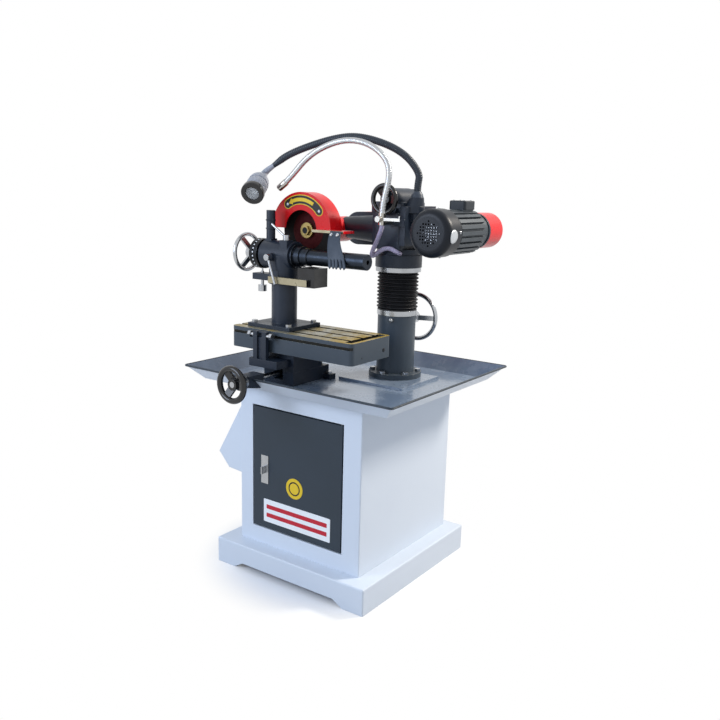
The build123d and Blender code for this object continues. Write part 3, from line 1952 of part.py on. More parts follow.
# Grinding spindle with its collar, wheel seat and pulley
shaft_end_y = pulley_y + pulley_length + shaft_tail
nut_front_y = wheel_front_y - nut_washer_length - nut_length
with BuildPart() as grinding_spindle:
    rod_y(wheel_back_y, shaft_end_y, spindle_x, spindle_z, spindle_radius)
    rod_y(
        wheel_back_y,
        wheel_back_y + spindle_collar_length,
        spindle_x,
        spindle_z,
        spindle_collar_radius,
    )
    rod_y(wheel_front_y, wheel_back_y, spindle_x, spindle_z, wheel_seat_radius)
    rod_y(nut_front_y, wheel_front_y, spindle_x, spindle_z, nut_bore)
    pulley(spindle_x, spindle_z, spindle_pulley_radius)
grinding_spindle.part.label = "grinding_spindle"
export_step(grinding_spindle.part, "parts/grinding_spindle.step")

with BuildPart() as grinding_wheel:
    rod_y(wheel_front_y, wheel_back_y, spindle_x, spindle_z, wheel_radius)
    chamfer(grinding_wheel.faces().sort_by(Axis.Y)[-1].edges(), wheel_edge)
    rod_y(
        wheel_front_y,
        wheel_back_y,
        spindle_x,
        spindle_z,
        wheel_seat_radius + run_gap,
        mode=Mode.SUBTRACT,
    )
grinding_wheel.part.label = "grinding_wheel"
export_step(grinding_wheel.part, "parts/grinding_wheel.step")

with BuildPart() as wheel_nut:
    rod_y(
        wheel_front_y - nut_washer_length,
        wheel_front_y,
        spindle_x,
        spindle_z,
        nut_washer_radius,
    )
    with BuildSketch(at_y(wheel_front_y - nut_washer_length)):
        with Locations((spindle_x, spindle_z)):
            RegularPolygon(nut_flats_radius, 6)
    extrude(amount=nut_length)
    rod_y(
        nut_front_y,
        wheel_front_y,
        spindle_x,
        spindle_z,
        nut_bore + run_gap,
        mode=Mode.SUBTRACT,
    )
wheel_nut.part.label = "wheel_nut"
export_step(wheel_nut.part, "parts/wheel_nut.step")

# Wheel guard: half round cover with a sleeve on the spindle tube, notched round the neck, and a
# strip for the flap
strip_left_x = spindle_x + strip_start
strip_front_y = guard_front_y - strip_front
with BuildPart() as wheel_guard:
    rod_y(guard_front_y, guard_back_y, spindle_x, spindle_z, guard_radius)
    rod_y(
        guard_front_y + guard_sheet,
        guard_back_y - guard_sheet,
        spindle_x,
        spindle_z,
        guard_radius - guard_sheet,
        mode=Mode.SUBTRACT,
    )
    rod_y(
        guard_front_y,
        guard_front_y + guard_sheet,
        spindle_x,
        spindle_z,
        guard_opening,
        mode=Mode.SUBTRACT,
    )
    block(
        spindle_x - guard_radius,
        spindle_x + guard_radius,
        guard_front_y,
        guard_back_y,
        spindle_z - guard_radius,
        guard_foot_z,
        mode=Mode.SUBTRACT,
    )
    rod_y(
        guard_back_y - guard_sheet,
        guard_back_y - guard_sheet + sleeve_length,
        spindle_x,
        spindle_z,
        sleeve_radius,
    )
    block(
        strip_left_x,
        spindle_x + strip_reach,
        strip_front_y,
        guard_front_y + strip_rear,
        guard_foot_z + strip_lap - strip_sheet,
        guard_foot_z + strip_lap,
    )
    rod_y(
        guard_back_y - guard_sheet,
        guard_back_y - guard_sheet + sleeve_length,
        spindle_x,
        spindle_z,
        spindle_tube_radius + hole_gap,
        mode=Mode.SUBTRACT,
    )
    neck(gap=hole_gap, mode=Mode.SUBTRACT)
wheel_guard.part.label = "wheel_guard"
export_step(wheel_guard.part, "parts/wheel_guard.step")

# Splash flap: rubber sheet hung from a barrel, draped forward, its foot slit into fingers
flap_knee_y = flap_axis_y - flap_out[0]
flap_foot_y = flap_axis_y - flap_out[1]
flap_knee_z = flap_axis_z - flap_down[0]
flap_foot_z = flap_axis_z - flap_down[1]
flap_left_x = spindle_x + flap_top[0]
flap_right_x = spindle_x + flap_foot[1]
finger_width = (flap_foot[1] - flap_foot[0]) / (flap_slits + 1)
with BuildPart() as splash_flap:
    with BuildSketch(at_x(flap_left_x)):
        Polygon(
            (flap_axis_y, flap_axis_z),
            (flap_knee_y, flap_knee_z),
            (flap_foot_y, flap_foot_z),
            (flap_foot_y + flap_sheet, flap_foot_z),
            (flap_knee_y + flap_sheet, flap_knee_z),
            (flap_axis_y + flap_sheet, flap_axis_z),
            align=None,
        )
    extrude(amount=flap_right_x - flap_left_x)
    with BuildSketch(at_y(flap_axis_y + flap_sheet)):
        Polygon(
            (spindle_x + flap_top[0], flap_axis_z),
            (spindle_x + flap_top[1], flap_axis_z),
            (spindle_x + flap_foot[1], flap_foot_z),
            (spindle_x + flap_foot[0], flap_foot_z),
            align=None,
        )
        for k in range(flap_slits):
            with Locations((spindle_x + flap_foot[0] + (k + 1) * finger_width, flap_foot_z)):
                Rectangle(flap_slit_width, 2 * flap_slit_height, mode=Mode.SUBTRACT)
    extrude(amount=flap_out[1] + flap_sheet, mode=Mode.INTERSECT)
    rod_x(flap_left_x, spindle_x + flap_top[1], flap_axis_y, flap_axis_z, flap_barrel)
splash_flap.part.label = "splash_flap"
export_step(splash_flap.part, "parts/splash_flap.step")

# Motor: finned body with a smooth end against the belt plate
fin_start_y = motor_front_y + fin_inset
rotor_y = motor_front_y + motor_length / 2
seat_y = rotor_y + terminal_shift
seat_z = motor_z + math.hypot(motor_radius + fin_height, fin_width / 2)
with BuildPart() as motor_body:
    rod_y(motor_front_y, motor_back_y, motor_x, motor_z, motor_radius)
    rod_y(motor_front_y - motor_bell_length, motor_front_y, motor_x, motor_z, motor_bell_radius)
    rod_y(motor_back_y, belt_plate_y, motor_x, motor_z, motor_end_radius)
    with BuildSketch(at_y(fin_start_y)):
        with Locations((motor_x, motor_z)):
            with PolarLocations(motor_radius, fin_count):
                Rectangle(2 * fin_height, fin_width)
    extrude(amount=fin_start_y - motor_back_y)
    block(
        motor_x - terminal_seat / 2,
        motor_x + terminal_seat / 2,
        seat_y - terminal_depth / 2,
        seat_y + terminal_depth / 2,
        motor_z,
        seat_z,
    )
    rod_y(
        motor_front_y + motor_wall,
        motor_back_y - motor_wall,
        motor_x,
        motor_z,
        motor_cavity,
        mode=Mode.SUBTRACT,
    )
    rod_y(
        motor_front_y - motor_bell_length,
        belt_plate_y,
        motor_x,
        motor_z,
        motor_shaft_radius + run_gap,
        mode=Mode.SUBTRACT,
    )
motor_body.part.label = "motor_body"
export_step(motor_body.part, "parts/motor_body.step")

with BuildPart() as terminal_box:
    block(
        motor_x - terminal_width / 2,
        motor_x + terminal_width / 2,
        seat_y - terminal_depth / 2,
        seat_y + terminal_depth / 2,
        seat_z,
        seat_z + terminal_height,
    )
    fillet(terminal_box.edges().filter_by(Axis.Z), terminal_edge)
    fillet(terminal_box.faces().sort_by(Axis.Z)[-1].edges(), terminal_edge / 2)
terminal_box.part.label = "terminal_box"
export_step(terminal_box.part, "parts/terminal_box.step")

# Fan cover: a cup with a rounded edge and a field of round holes in its face
grille_steps = range(-grille_reach, grille_reach + 1)
grille_places = [
    (motor_x + across * grille_pitch, motor_z + up * grille_pitch)
    for across in grille_steps
    for up in grille_steps
    if math.hypot(across, up) <= grille_reach
]
with BuildPart() as fan_cover:
    rod_y(
        fan_cover_front_y,
        fan_cover_front_y + fan_cover_length,
        motor_x,
        motor_z,
        motor_bell_radius + hole_gap + fan_cover_sheet,
    )
    fillet(fan_cover.faces().sort_by(Axis.Y)[0].edges(), fan_cover_edge)
    offset(amount=-fan_cover_sheet, openings=fan_cover.faces().sort_by(Axis.Y)[-1])
    with BuildSketch(at_y(fan_cover_front_y)):
        with Locations(*grille_places):
            Circle(grille_hole_radius)
    extrude(amount=-2 * fan_cover_sheet, mode=Mode.SUBTRACT)
fan_cover.part.label = "fan_cover"
export_step(fan_cover.part, "parts/fan_cover.step")

# Rotor with its cooling fan at the front and the drive pulley behind
fan_front_y = fan_cover_front_y + fan_front_gap
rotor_front_y = rotor_y - rotor_length / 2
with BuildPart() as motor_rotor:
    rod_y(fan_front_y, shaft_end_y, motor_x, motor_z, motor_shaft_radius)
    rod_y(rotor_front_y, rotor_front_y + rotor_length, motor_x, motor_z, rotor_radius)
    rod_y(fan_front_y, fan_front_y + fan_length, motor_x, motor_z, fan_hub_radius)
    with BuildSketch(at_y(fan_front_y)):
        with Locations((motor_x, motor_z)):
            with PolarLocations(fan_radius / 2, fan_blades):
                Rectangle(fan_radius, fan_blade_sheet)
    extrude(amount=-fan_length)
    pulley(motor_x, motor_z, motor_pulley_radius)
motor_rotor.part.label = "motor_rotor"
export_step(motor_rotor.part, "parts/motor_rotor.step")

# Drive belt round both pulleys, and the red cover over it
belt_front_y = pulley_y + (pulley_length - belt_width) / 2
with BuildPart() as drive_belt:
    with BuildSketch(at_y(belt_front_y)):
        with Locations((spindle_x, spindle_z)):
            Circle(spindle_pulley_radius + belt_height)
        with Locations((motor_x, motor_z)):
            Circle(motor_pulley_radius + belt_height)
        make_hull()
    extrude(amount=-belt_width)
    with BuildSketch(at_y(belt_front_y)):
        with Locations((spindle_x, spindle_z)):
            Circle(spindle_pulley_radius)
        with Locations((motor_x, motor_z)):
            Circle(motor_pulley_radius)
        make_hull()
    extrude(amount=-belt_width, mode=Mode.SUBTRACT)
drive_belt.part.label = "drive_belt"
export_step(drive_belt.part, "parts/drive_belt.step")

with BuildPart() as belt_guard:
    with BuildSketch(at_y(belt_back_y)):
        with Locations((spindle_x, spindle_z), (motor_x, motor_z)):
            Circle(belt_plate_radius)
        make_hull()
    extrude(amount=-belt_cover_depth)
    fillet(belt_guard.faces().sort_by(Axis.Y)[-1].edges(), 2 * belt_cover_sheet)
    with BuildSketch(at_y(belt_back_y)):
        with Locations((spindle_x, spindle_z), (motor_x, motor_z)):
            Circle(belt_plate_radius - belt_cover_sheet)
        make_hull()
    extrude(amount=belt_cover_sheet - belt_cover_depth, mode=Mode.SUBTRACT)
belt_guard.part.label = "belt_guard"
export_step(belt_guard.part, "parts/belt_guard.step")

# Lamp: bell base on the boss of the right cheek, bent gooseneck, round head with a lens
lamp_base_z = lamp_foot_z + lamp_base_heights[1]
lamp_direction = Vector(*lamp_aim).normalized()
lamp_lens = Vector(
    column_x + lamp_lens_place[0],
    column_y + lamp_lens_place[1],
    collar_top_z + lamp_lens_place[2],
)
lamp_length = lamp_bezel_length + lamp_body_length + lamp_neck_length
lamp_tail = lamp_lens - lamp_direction * lamp_length
lamp_plane = Plane(origin=lamp_lens, z_dir=-lamp_direction)
lamp_section = Plane(origin=(lamp_base_x, lamp_base_y, 0), x_dir=(1, 0, 0), z_dir=(0, -1, 0))
with BuildPart() as lamp_base:
    with BuildSketch(lamp_section):
        Polygon(
            (0, lamp_foot_z),
            (lamp_base_radii[0], lamp_foot_z),
            (lamp_base_radii[1], lamp_foot_z + lamp_base_heights[0]),
            (lamp_base_radii[2], lamp_base_z),
            (0, lamp_base_z),
            align=None,
        )
    revolve(axis=Axis((lamp_base_x, lamp_base_y, 0), (0, 0, 1)))
lamp_base.part.label = "lamp_base"
export_step(lamp_base.part, "parts/lamp_base.step")

# Gooseneck from the lamp's base to its head
lamp_tail_run = lamp_tail - lamp_direction * gooseneck_lead
gooseneck_points = [(lamp_base_x, lamp_base_y, lamp_base_z)]
for bend_x, bend_y, bend_z, bend in gooseneck_bends:
    gooseneck_points.append((lamp_base_x + bend_x, lamp_base_y + bend_y, lamp_base_z + bend_z))
gooseneck_points.append(tuple(lamp_tail_run))
gooseneck_points.append(tuple(lamp_tail))
gooseneck_radii = [bend for bend_x, bend_y, bend_z, bend in gooseneck_bends] + [gooseneck_end_bend]
with BuildPart() as lamp_gooseneck:
    pipe(gooseneck_points, gooseneck_radii, gooseneck_radius, gooseneck_bore)
lamp_gooseneck.part.label = "lamp_gooseneck"
export_step(lamp_gooseneck.part, "parts/lamp_gooseneck.step")

with BuildPart(lamp_plane) as lamp_head:
    with Locations((0, 0, lamp_bezel_length / 2)):
        Cylinder(lamp_bezel_radius, lamp_bezel_length)
    with Locations((0, 0, lamp_bezel_length + lamp_body_length / 2)):
        Cylinder(lamp_body_radius, lamp_body_length)
    with Locations((0, 0, lamp_length - lamp_neck_length / 2)):
        Cone(lamp_body_radius, lamp_neck_radius, lamp_neck_length)
    with Locations((0, 0, (lens_inset + lens_sheet) / 2)):
        Cylinder(lens_radius + hole_gap, lens_inset + lens_sheet, mode=Mode.SUBTRACT)
    with Locations((0, 0, lens_inset + lens_sheet + reflector_depth / 2)):
        Cone(lens_radius - side_gap, reflector_end, reflector_depth, mode=Mode.SUBTRACT)
lamp_head.part.label = "lamp_head"
export_step(lamp_head.part, "parts/lamp_head.step")

with BuildPart(lamp_plane) as lamp_lens_glass:
    with Locations((0, 0, lens_inset + lens_sheet / 2)):
        Cylinder(lens_radius, lens_sheet)
lamp_lens_glass.part.label = "lamp_lens"
export_step(lamp_lens_glass.part, "parts/lamp_lens.step")

# Coolant valve on a plate in front of the right cheek, with its lever
valve_mount_y = column_y - right_cheek_front
valve_body_x = column_x + valve_x
valve_body_y = column_y - valve_reach
valve_z = collar_top_z + valve_rise
plate_foot_z = valve_z - valve_plate_height
stem_y = valve_body_y - valve_radius
with BuildPart() as coolant_valve:
    block(
        valve_body_x - valve_radius,
        right_cheek_x + cheek_sheet,
        valve_mount_y - valve_plate_sheet,
        valve_mount_y,
        plate_foot_z,
        valve_z,
    )
    rod_y(
        valve_body_y + valve_neck_radius,
        valve_mount_y - valve_plate_sheet,
        valve_body_x,
        valve_z - valve_plate_height / 2,
        valve_neck_radius,
    )
    rod_z(
        valve_z - valve_height / 2,
        valve_z + valve_height / 2,
        valve_body_x,
        valve_body_y,
        valve_radius,
    )
    rod_y(stem_y - valve_stem_reach, valve_body_y, valve_body_x, valve_z, valve_stem_radius)
coolant_valve.part.label = "coolant_valve"
export_step(coolant_valve.part, "parts/coolant_valve.step")

lever_back_y = stem_y - side_gap
lever_tip_x = valve_body_x + valve_lever_length
with BuildPart() as valve_lever:
    rod_y(
        stem_y - valve_stem_reach - side_gap,
        lever_back_y,
        valve_body_x,
        valve_z,
        valve_lever_width,
    )
    block(
        valve_body_x,
        lever_tip_x,
        lever_back_y - valve_lever_sheet,
        lever_back_y,
        valve_z - valve_lever_width / 2,
        valve_z + valve_lever_width / 2,
    )
    block(
        lever_tip_x - valve_lever_sheet,
        lever_tip_x,
        lever_back_y - valve_lever_sheet,
        lever_back_y,
        valve_z,
        valve_z + valve_lever_rise,
    )
    rod_y(
        stem_y - valve_stem_reach,
        lever_back_y,
        valve_body_x,
        valve_z,
        valve_stem_radius + run_gap,
        mode=Mode.SUBTRACT,
    )
valve_lever.part.label = "valve_lever"
export_step(valve_lever.part, "parts/valve_lever.step")

# Coolant hose: arched conduit from the valve to a nozzle over the wheel guard
hose_foot = (valve_body_x, valve_body_y, valve_z + valve_height / 2)
hose_points = [hose_foot]
for bend_x, bend_y, bend_z, bend in hose_bends:
    hose_points.append((hose_foot[0] + bend_x, hose_foot[1] + bend_y, hose_foot[2] + bend_z))
hose_points.append(tuple(Vector(*hose_foot) + Vector(*hose_tip)))
hose_radii = [bend for bend_x, bend_y, bend_z, bend in hose_bends]
hose_end = Vector(*hose_points[-1])
hose_aim = (hose_end - Vector(*hose_points[-2])).normalized()
with BuildPart() as coolant_hose:
    pipe(hose_points, hose_radii, hose_radius, hose_bore)
    with BuildSketch(Plane(origin=hose_end, z_dir=hose_aim)):
        Circle(hose_radius)
        Circle(hose_bore, mode=Mode.SUBTRACT)
    with BuildSketch(Plane(origin=hose_end + hose_aim * nozzle_length, z_dir=hose_aim)):
        Circle(nozzle_tip_radius)
        Circle(nozzle_bore, mode=Mode.SUBTRACT)
    loft()
coolant_hose.part.label = "coolant_hose"
export_step(coolant_hose.part, "parts/coolant_hose.step")

# Plastic feed tube from under the valve, folded back over a crest to the side of the turret
tube_top = (valve_body_x, valve_body_y, valve_z - valve_height / 2)
tube_z = collar_top_z + tube_radius + hole_gap
tube_front_y = column_y - collar_radius - tube_drape
tube_aim = Vector(0, -1, 0).rotate(Axis.Z, tube_side)
tube_axis = Vector(column_x, column_y, tube_z)
tube_points = [
    tube_top,
    (valve_body_x, valve_body_y, valve_z - valve_height / 2 - tube_lead),
    (column_x - tube_left, tube_front_y, tube_z - tube_sag),
    (column_x + tube_crest, tube_front_y, tube_z + tube_crest_rise),
    tube_axis + tube_aim * (turret_radius + tube_stub),
    tube_axis + tube_aim * turret_radius,
]
with BuildPart() as coolant_tube:
    pipe(tube_points, tube_bends, tube_radius, tube_bore)
coolant_tube.part.label = "coolant_tube"
export_step(coolant_tube.part, "parts/coolant_tube.step")
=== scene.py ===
"""Looks of a circular saw blade sharpener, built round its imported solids.

Sizes and places are millimetres in the machine's own frame: X to the right, Y to the back, Z up.
"""

import logging
import math
from collections.abc import Callable, Iterable, Sequence
from dataclasses import dataclass
from enum import Enum
from itertools import accumulate

import bmesh
import bpy
from mathutils import Matrix, Vector


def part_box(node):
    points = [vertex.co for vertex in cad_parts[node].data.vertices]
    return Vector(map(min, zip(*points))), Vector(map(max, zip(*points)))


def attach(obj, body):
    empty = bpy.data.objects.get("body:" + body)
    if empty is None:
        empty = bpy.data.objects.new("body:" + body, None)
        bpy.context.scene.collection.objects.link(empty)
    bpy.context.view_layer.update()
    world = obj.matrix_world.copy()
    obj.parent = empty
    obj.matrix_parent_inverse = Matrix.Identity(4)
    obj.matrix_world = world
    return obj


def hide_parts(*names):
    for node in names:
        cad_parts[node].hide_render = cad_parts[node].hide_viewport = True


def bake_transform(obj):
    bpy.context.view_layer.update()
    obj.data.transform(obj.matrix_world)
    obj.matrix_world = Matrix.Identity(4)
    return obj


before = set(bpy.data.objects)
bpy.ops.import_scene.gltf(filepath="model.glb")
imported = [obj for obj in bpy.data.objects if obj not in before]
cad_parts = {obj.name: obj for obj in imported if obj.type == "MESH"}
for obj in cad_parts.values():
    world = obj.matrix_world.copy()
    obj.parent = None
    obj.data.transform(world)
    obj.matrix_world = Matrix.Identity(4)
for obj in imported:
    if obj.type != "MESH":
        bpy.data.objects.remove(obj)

MM = 0.001
FINE_SIDES = 96
ROUND_SIDES = 32
SCREW_SIDES = 24
HEXAGON = 6
CORNER_STEPS = 6
SHARP_ANGLE = math.radians(38)
# A length that counts as none, in millimetres.
NEAR = 0.001
# Keeps the eased edge of a plate short where its outline turns sharply.
SHARPEST_CORNER = 0.2
# Part of a face's normal along an axis from which the face looks that way.
FACING = 0.5
EDGE_SAMPLES = 4
# Colour sockets of Blender's Mix node, whose names are also those of its other sockets.
MIX_SHARE, MIX_UNDER, MIX_OVER, MIX_RESULT = 0, 6, 7, 2

Place = tuple[float, float, float]
Profile = tuple[tuple[float, float], ...]

# Shares of a screw head's radius and height: washer face, dome and socket.
SCREW_HEAD: Profile = (
    (0, 0),
    (1.25, 0),
    (1.25, 0.18),
    (1, 0.2),
    *((math.cos(math.pi * k / 12), 0.35 + 0.65 * math.sin(math.pi * k / 12)) for k in range(5)),
    (0.45, 1),
    (0.45, 0.5),
    (0, 0.5),
)

log = logging.getLogger("sharpener")


def linear(colour: str) -> tuple[float, float, float, float]:
    """Turns an sRGB hex colour to linear light.

    Args:
        colour: Six hex digits after a hash.

    Returns:
        Red, green, blue and a full alpha.
    """
    parts = [int(colour[i : i + 2], 16) / 255 for i in (1, 3, 5)]
    light = [c / 12.92 if c <= 0.04045 else ((c + 0.055) / 1.055) ** 2.4 for c in parts]
    return (*light, 1.0)


def add(
    tree: bpy.types.NodeTree, kind: str, sockets: dict | None = None, **settings: object
) -> bpy.types.Node:
    """Adds one shader node with its settings and links.

    Args:
        tree: Node tree that takes the node.
        kind: Blender's type of the node.
        sockets: Input names or numbers, each with a value or an output to link.
        settings: Values of the node's own properties.

    Returns:
        The new node.
    """
    made = tree.nodes.new(kind)
    for key, value in settings.items():
        setattr(made, key, value)
    for key, value in (sockets or {}).items():
        if isinstance(value, bpy.types.NodeSocket):
            tree.links.new(value, made.inputs[key])
        else:
            made.inputs[key].default_value = value
    return made


@dataclass(frozen=True)
class Finish:
    """A real material and how its surface was made.

    Sizes are millimetres. Patches are slow changes of colour, grain is the fine relief, wear is bare
    material on the edges, and a pool is the stretch of X over which the patches run together.
    """

    name: str
    slot: str
    colour: str
    roughness: float
    patch_colour: str
    patch_size: float
    metallic: float = 0.0
    ior: float = 1.5
    gloss: float = 0.5
    patch_share: float = 0.5
    rough_spread: float = 0.08
    grain_size: float = 2.0
    grain_height: float = 0.0
    grain_stretch: Place = (1.0, 1.0, 1.0)
    edge_round: float = 0.0
    wear_colour: str = ""
    wear_share: float = 0.5
    wear_width: float = 1.6
    chip_size: float = 9.0
    coat: float = 0.0
    coat_roughness: float = 0.06
    transmission: float = 0.0
    scatter: float = 0.0
    scatter_reach: float = 4.0
    pool: tuple[float, float] | None = None

    def material(self) -> bpy.types.Material:
        """Builds the material once.

        Returns:
            The material of this finish.
        """
        made = bpy.data.materials.get(self.name)
        if made is not None:
            return made
        made = bpy.data.materials.new(self.name)
        made.use_nodes = True
        tree = made.node_tree
        tree.nodes.clear()
        sockets: dict = {
            "Metallic": self.metallic,
            "IOR": self.ior,
            "Specular IOR Level": self.gloss,
            "Coat Weight": self.coat,
            "Coat Roughness": self.coat_roughness,
            "Transmission Weight": self.transmission,
            "Subsurface Weight": self.scatter,
            "Subsurface Radius": (self.scatter_reach * MM,) * 3,
        }
        place = add(tree, "ShaderNodeTexCoord").outputs["Object"]
        sockets.update(self.tint(tree, place))
        sockets.update(self.relief(tree, place))
        shader = add(tree, "ShaderNodeBsdfPrincipled", sockets)
        add(tree, "ShaderNodeOutputMaterial", {"Surface": shader.outputs["BSDF"]})
        return made

    def tint(self, tree: bpy.types.NodeTree, place: bpy.types.NodeSocket) -> dict:
        """Colour and roughness, with their patches and worn edges.

        Args:
            tree: Node tree of the material.
            place: Object coordinates, in metres.

        Returns:
            Base Color and Roughness for the shader.
        """
        patches = add(
            tree,
            "ShaderNodeTexNoise",
            {"Vector": place, "Scale": 1 / (self.patch_size * MM), "Detail": 4.0, "Roughness": 0.6},
        ).outputs["Fac"]
        rough = add(
            tree,
            "ShaderNodeMapRange",
            {
                "Value": patches,
                "From Min": 0.3,
                "From Max": 0.7,
                "To Min": self.roughness - self.rough_spread,
                "To Max": self.roughness + self.rough_spread,
            },
        ).outputs["Result"]
        share = add(
            tree,
            "ShaderNodeMapRange",
            {"Value": patches, "From Min": 0.42, "From Max": 0.72, "To Max": self.patch_share},
        ).outputs["Result"]
        if self.pool:
            share = self.pooled(tree, place, share)
        colour: object = linear(self.colour)
        layers = [(share, self.patch_colour)]
        if self.wear_colour:
            layers.append((self.worn(tree, place), self.wear_colour))
        for cover, over in layers:
            colour = add(
                tree,
                "ShaderNodeMix",
                {MIX_SHARE: cover, MIX_UNDER: colour, MIX_OVER: linear(over)},
                data_type="RGBA",
            ).outputs[MIX_RESULT]
        return {"Base Color": colour, "Roughness": rough}

    def pooled(
        self, tree: bpy.types.NodeTree, place: bpy.types.NodeSocket, share: bpy.types.NodeSocket
    ) -> bpy.types.NodeSocket:
        """Share of the patches, full where they run together at one end.

        Args:
            tree: Node tree of the material.
            place: Object coordinates, in metres.
            share: Share of the patches elsewhere.

        Returns:
            The share, from its own value at the pool's start to 1 at its end.
        """
        start, end = self.pool
        run = add(tree, "ShaderNodeSeparateXYZ", {"Vector": place}).outputs["X"]
        grow = add(
            tree, "ShaderNodeMapRange", {"Value": run, "From Min": start * MM, "From Max": end * MM}
        ).outputs["Result"]
        return add(
            tree, "ShaderNodeMath", {0: share, 1: grow}, operation="ADD", use_clamp=True
        ).outputs["Value"]

    def worn(
        self, tree: bpy.types.NodeTree, place: bpy.types.NodeSocket
    ) -> bpy.types.NodeSocket:
        """Share of bare material, from how far a rounded edge turns away from its face.

        Args:
            tree: Node tree of the material.
            place: Object coordinates, in metres.

        Returns:
            A value from 0 on flat faces to the wear share on edges.
        """
        true = add(tree, "ShaderNodeNewGeometry").outputs["Normal"]
        soft = add(
            tree, "ShaderNodeBevel", {"Radius": self.wear_width * MM}, samples=EDGE_SAMPLES
        ).outputs["Normal"]
        turn = add(tree, "ShaderNodeVectorMath", {0: true, 1: soft}, operation="DOT_PRODUCT")
        edge = add(
            tree,
            "ShaderNodeMapRange",
            {"Value": turn.outputs["Value"], "From Min": 0.97, "From Max": 0.86},
        ).outputs["Result"]
        chips = add(
            tree,
            "ShaderNodeTexNoise",
            {"Vector": place, "Scale": 1 / (self.chip_size * MM), "Detail": 3.0},
        ).outputs["Fac"]
        spots = add(
            tree,
            "ShaderNodeMapRange",
            {"Value": chips, "From Min": 0.45, "From Max": 0.62, "To Max": self.wear_share},
        ).outputs["Result"]
        return add(
            tree, "ShaderNodeMath", {0: edge, 1: spots}, operation="MULTIPLY"
        ).outputs["Value"]

    def relief(self, tree: bpy.types.NodeTree, place: bpy.types.NodeSocket) -> dict:
        """Fine grain on softly rounded edges.

        Args:
            tree: Node tree of the material.
            place: Object coordinates, in metres.

        Returns:
            Normal for the shader, or nothing on a plain surface.
        """
        normal: dict = {}
        if self.edge_round:
            soft = add(
                tree, "ShaderNodeBevel", {"Radius": self.edge_round * MM}, samples=EDGE_SAMPLES
            )
            normal = {"Normal": soft.outputs["Normal"]}
        if self.grain_height:
            lines = add(tree, "ShaderNodeMapping", {"Vector": place, "Scale": self.grain_stretch})
            grain = add(
                tree,
                "ShaderNodeTexNoise",
                {"Vector": lines.outputs["Vector"], "Scale": 1 / (self.grain_size * MM), "Detail": 2.0},
            ).outputs["Fac"]
            bump = add(
                tree,
                "ShaderNodeBump",
                {"Height": grain, "Distance": self.grain_height * MM, **normal},
            )
            normal = {"Normal": bump.outputs["Normal"]}
        return normal


# Stoved gloss enamel on folded sheet steel: cool white, faint orange peel, a soft clear reflection.
WHITE_ENAMEL = Finish(
    "stoved_white_enamel", "white_enamel", "#D6DFEA", 0.34, gloss=0.4, patch_colour="#D1DAE6",
    patch_size=300, patch_share=0.4, rough_spread=0.03, grain_size=5, grain_height=0.04, edge_round=2.0,
)  # fmt: skip
# Stoved slate enamel on the folded door: dark blue grey with a soft sheen.
SLATE_ENAMEL = Finish(
    "stoved_slate_enamel", "grey_enamel", "#2B3640", 0.42, gloss=0.3, patch_colour="#313C47",
    patch_size=180, rough_spread=0.05, grain_size=5, grain_height=0.05, edge_round=1.5,
)  # fmt: skip
# Slate enamel inside the tray, wet with coolant and oil: patchy gloss over blue grey.
WET_ENAMEL = Finish(
    "oiled_tray_enamel", "tray_enamel", "#6A7B91", 0.26, patch_colour="#93A1B0", patch_size=110,
    patch_share=0.7, rough_spread=0.14, grain_size=6, grain_height=0.06, edge_round=1.5, coat=0.3,
)  # fmt: skip
# Filled and brushed enamel over rough iron castings: slate, softly uneven, chipped at the edges.
CAST_ENAMEL = Finish(
    "filled_casting_enamel", "machine_enamel", "#202A38", 0.4, gloss=0.34, patch_colour="#1A2330",
    patch_size=45, rough_spread=0.08, grain_size=7, grain_height=0.3, edge_round=2.5,
    wear_colour="#868C92", wear_share=0.3,
)  # fmt: skip
# The same enamel sprayed on the machined table: a lighter, even slate with worn bright edges.
TABLE_ENAMEL = Finish(
    "sprayed_table_enamel", "machine_enamel", "#3D4751", 0.42, gloss=0.35, patch_colour="#38424B",
    patch_size=80, rough_spread=0.05, grain_size=4, grain_height=0.08, edge_round=1.2,
    wear_colour="#B3AE98", wear_share=0.8,
)  # fmt: skip
# Surface ground cast iron under a film of oil: beige grey, yellow where the oil pools at its right end.
GROUND_IRON = Finish(
    "ground_cast_iron", "ground_iron", "#A09A82", 0.4, metallic=0.45, patch_colour="#B0932A",
    patch_size=38, patch_share=0.85, rough_spread=0.14, grain_size=1.6, grain_height=0.05,
    grain_stretch=(0.05, 1.0, 1.0), edge_round=1.0, pool=(60.0, 170.0),
)  # fmt: skip
# Honey-yellow slideway oil that stands in the table's trough.
POOLED_OIL = Finish(
    "pooled_slideway_oil", "ground_iron", "#B08A1E", 0.16, patch_colour="#6E4F14", patch_size=24,
    patch_share=0.7, rough_spread=0.05, grain_size=9, grain_height=0.2, coat=0.4,
)  # fmt: skip
# Near-black iron in the slots and grooves: painted shade for their dark insides, with oily brown
# patches.
SHADED_SLOT_IRON = Finish(
    "slot_iron_painted_shade", "ground_iron", "#191A18", 0.45, metallic=0.3, gloss=0.3, patch_colour="#3B3420",
    patch_size=30, rough_spread=0.15, grain_size=2, grain_height=0.1,
)  # fmt: skip
# Sprayed gloss enamel on pressed guards: signal red with a hard wet-looking highlight.
RED_ENAMEL = Finish(
    "sprayed_red_enamel", "red_enamel", "#DC1017", 0.28, gloss=0.25, patch_colour="#CC0E14",
    patch_size=120, rough_spread=0.04, grain_size=4, grain_height=0.04, edge_round=2.0, coat=0.15,
)  # fmt: skip
# Turned and lightly oiled steel: bright, with fine tool lines that break the reflection.
TURNED_STEEL = Finish(
    "turned_steel", "bright_steel", "#AEB1B5", 0.26, metallic=1.0, patch_colour="#94979A",
    patch_size=25, rough_spread=0.1, grain_size=0.9, grain_height=0.02, edge_round=0.7,
)  # fmt: skip
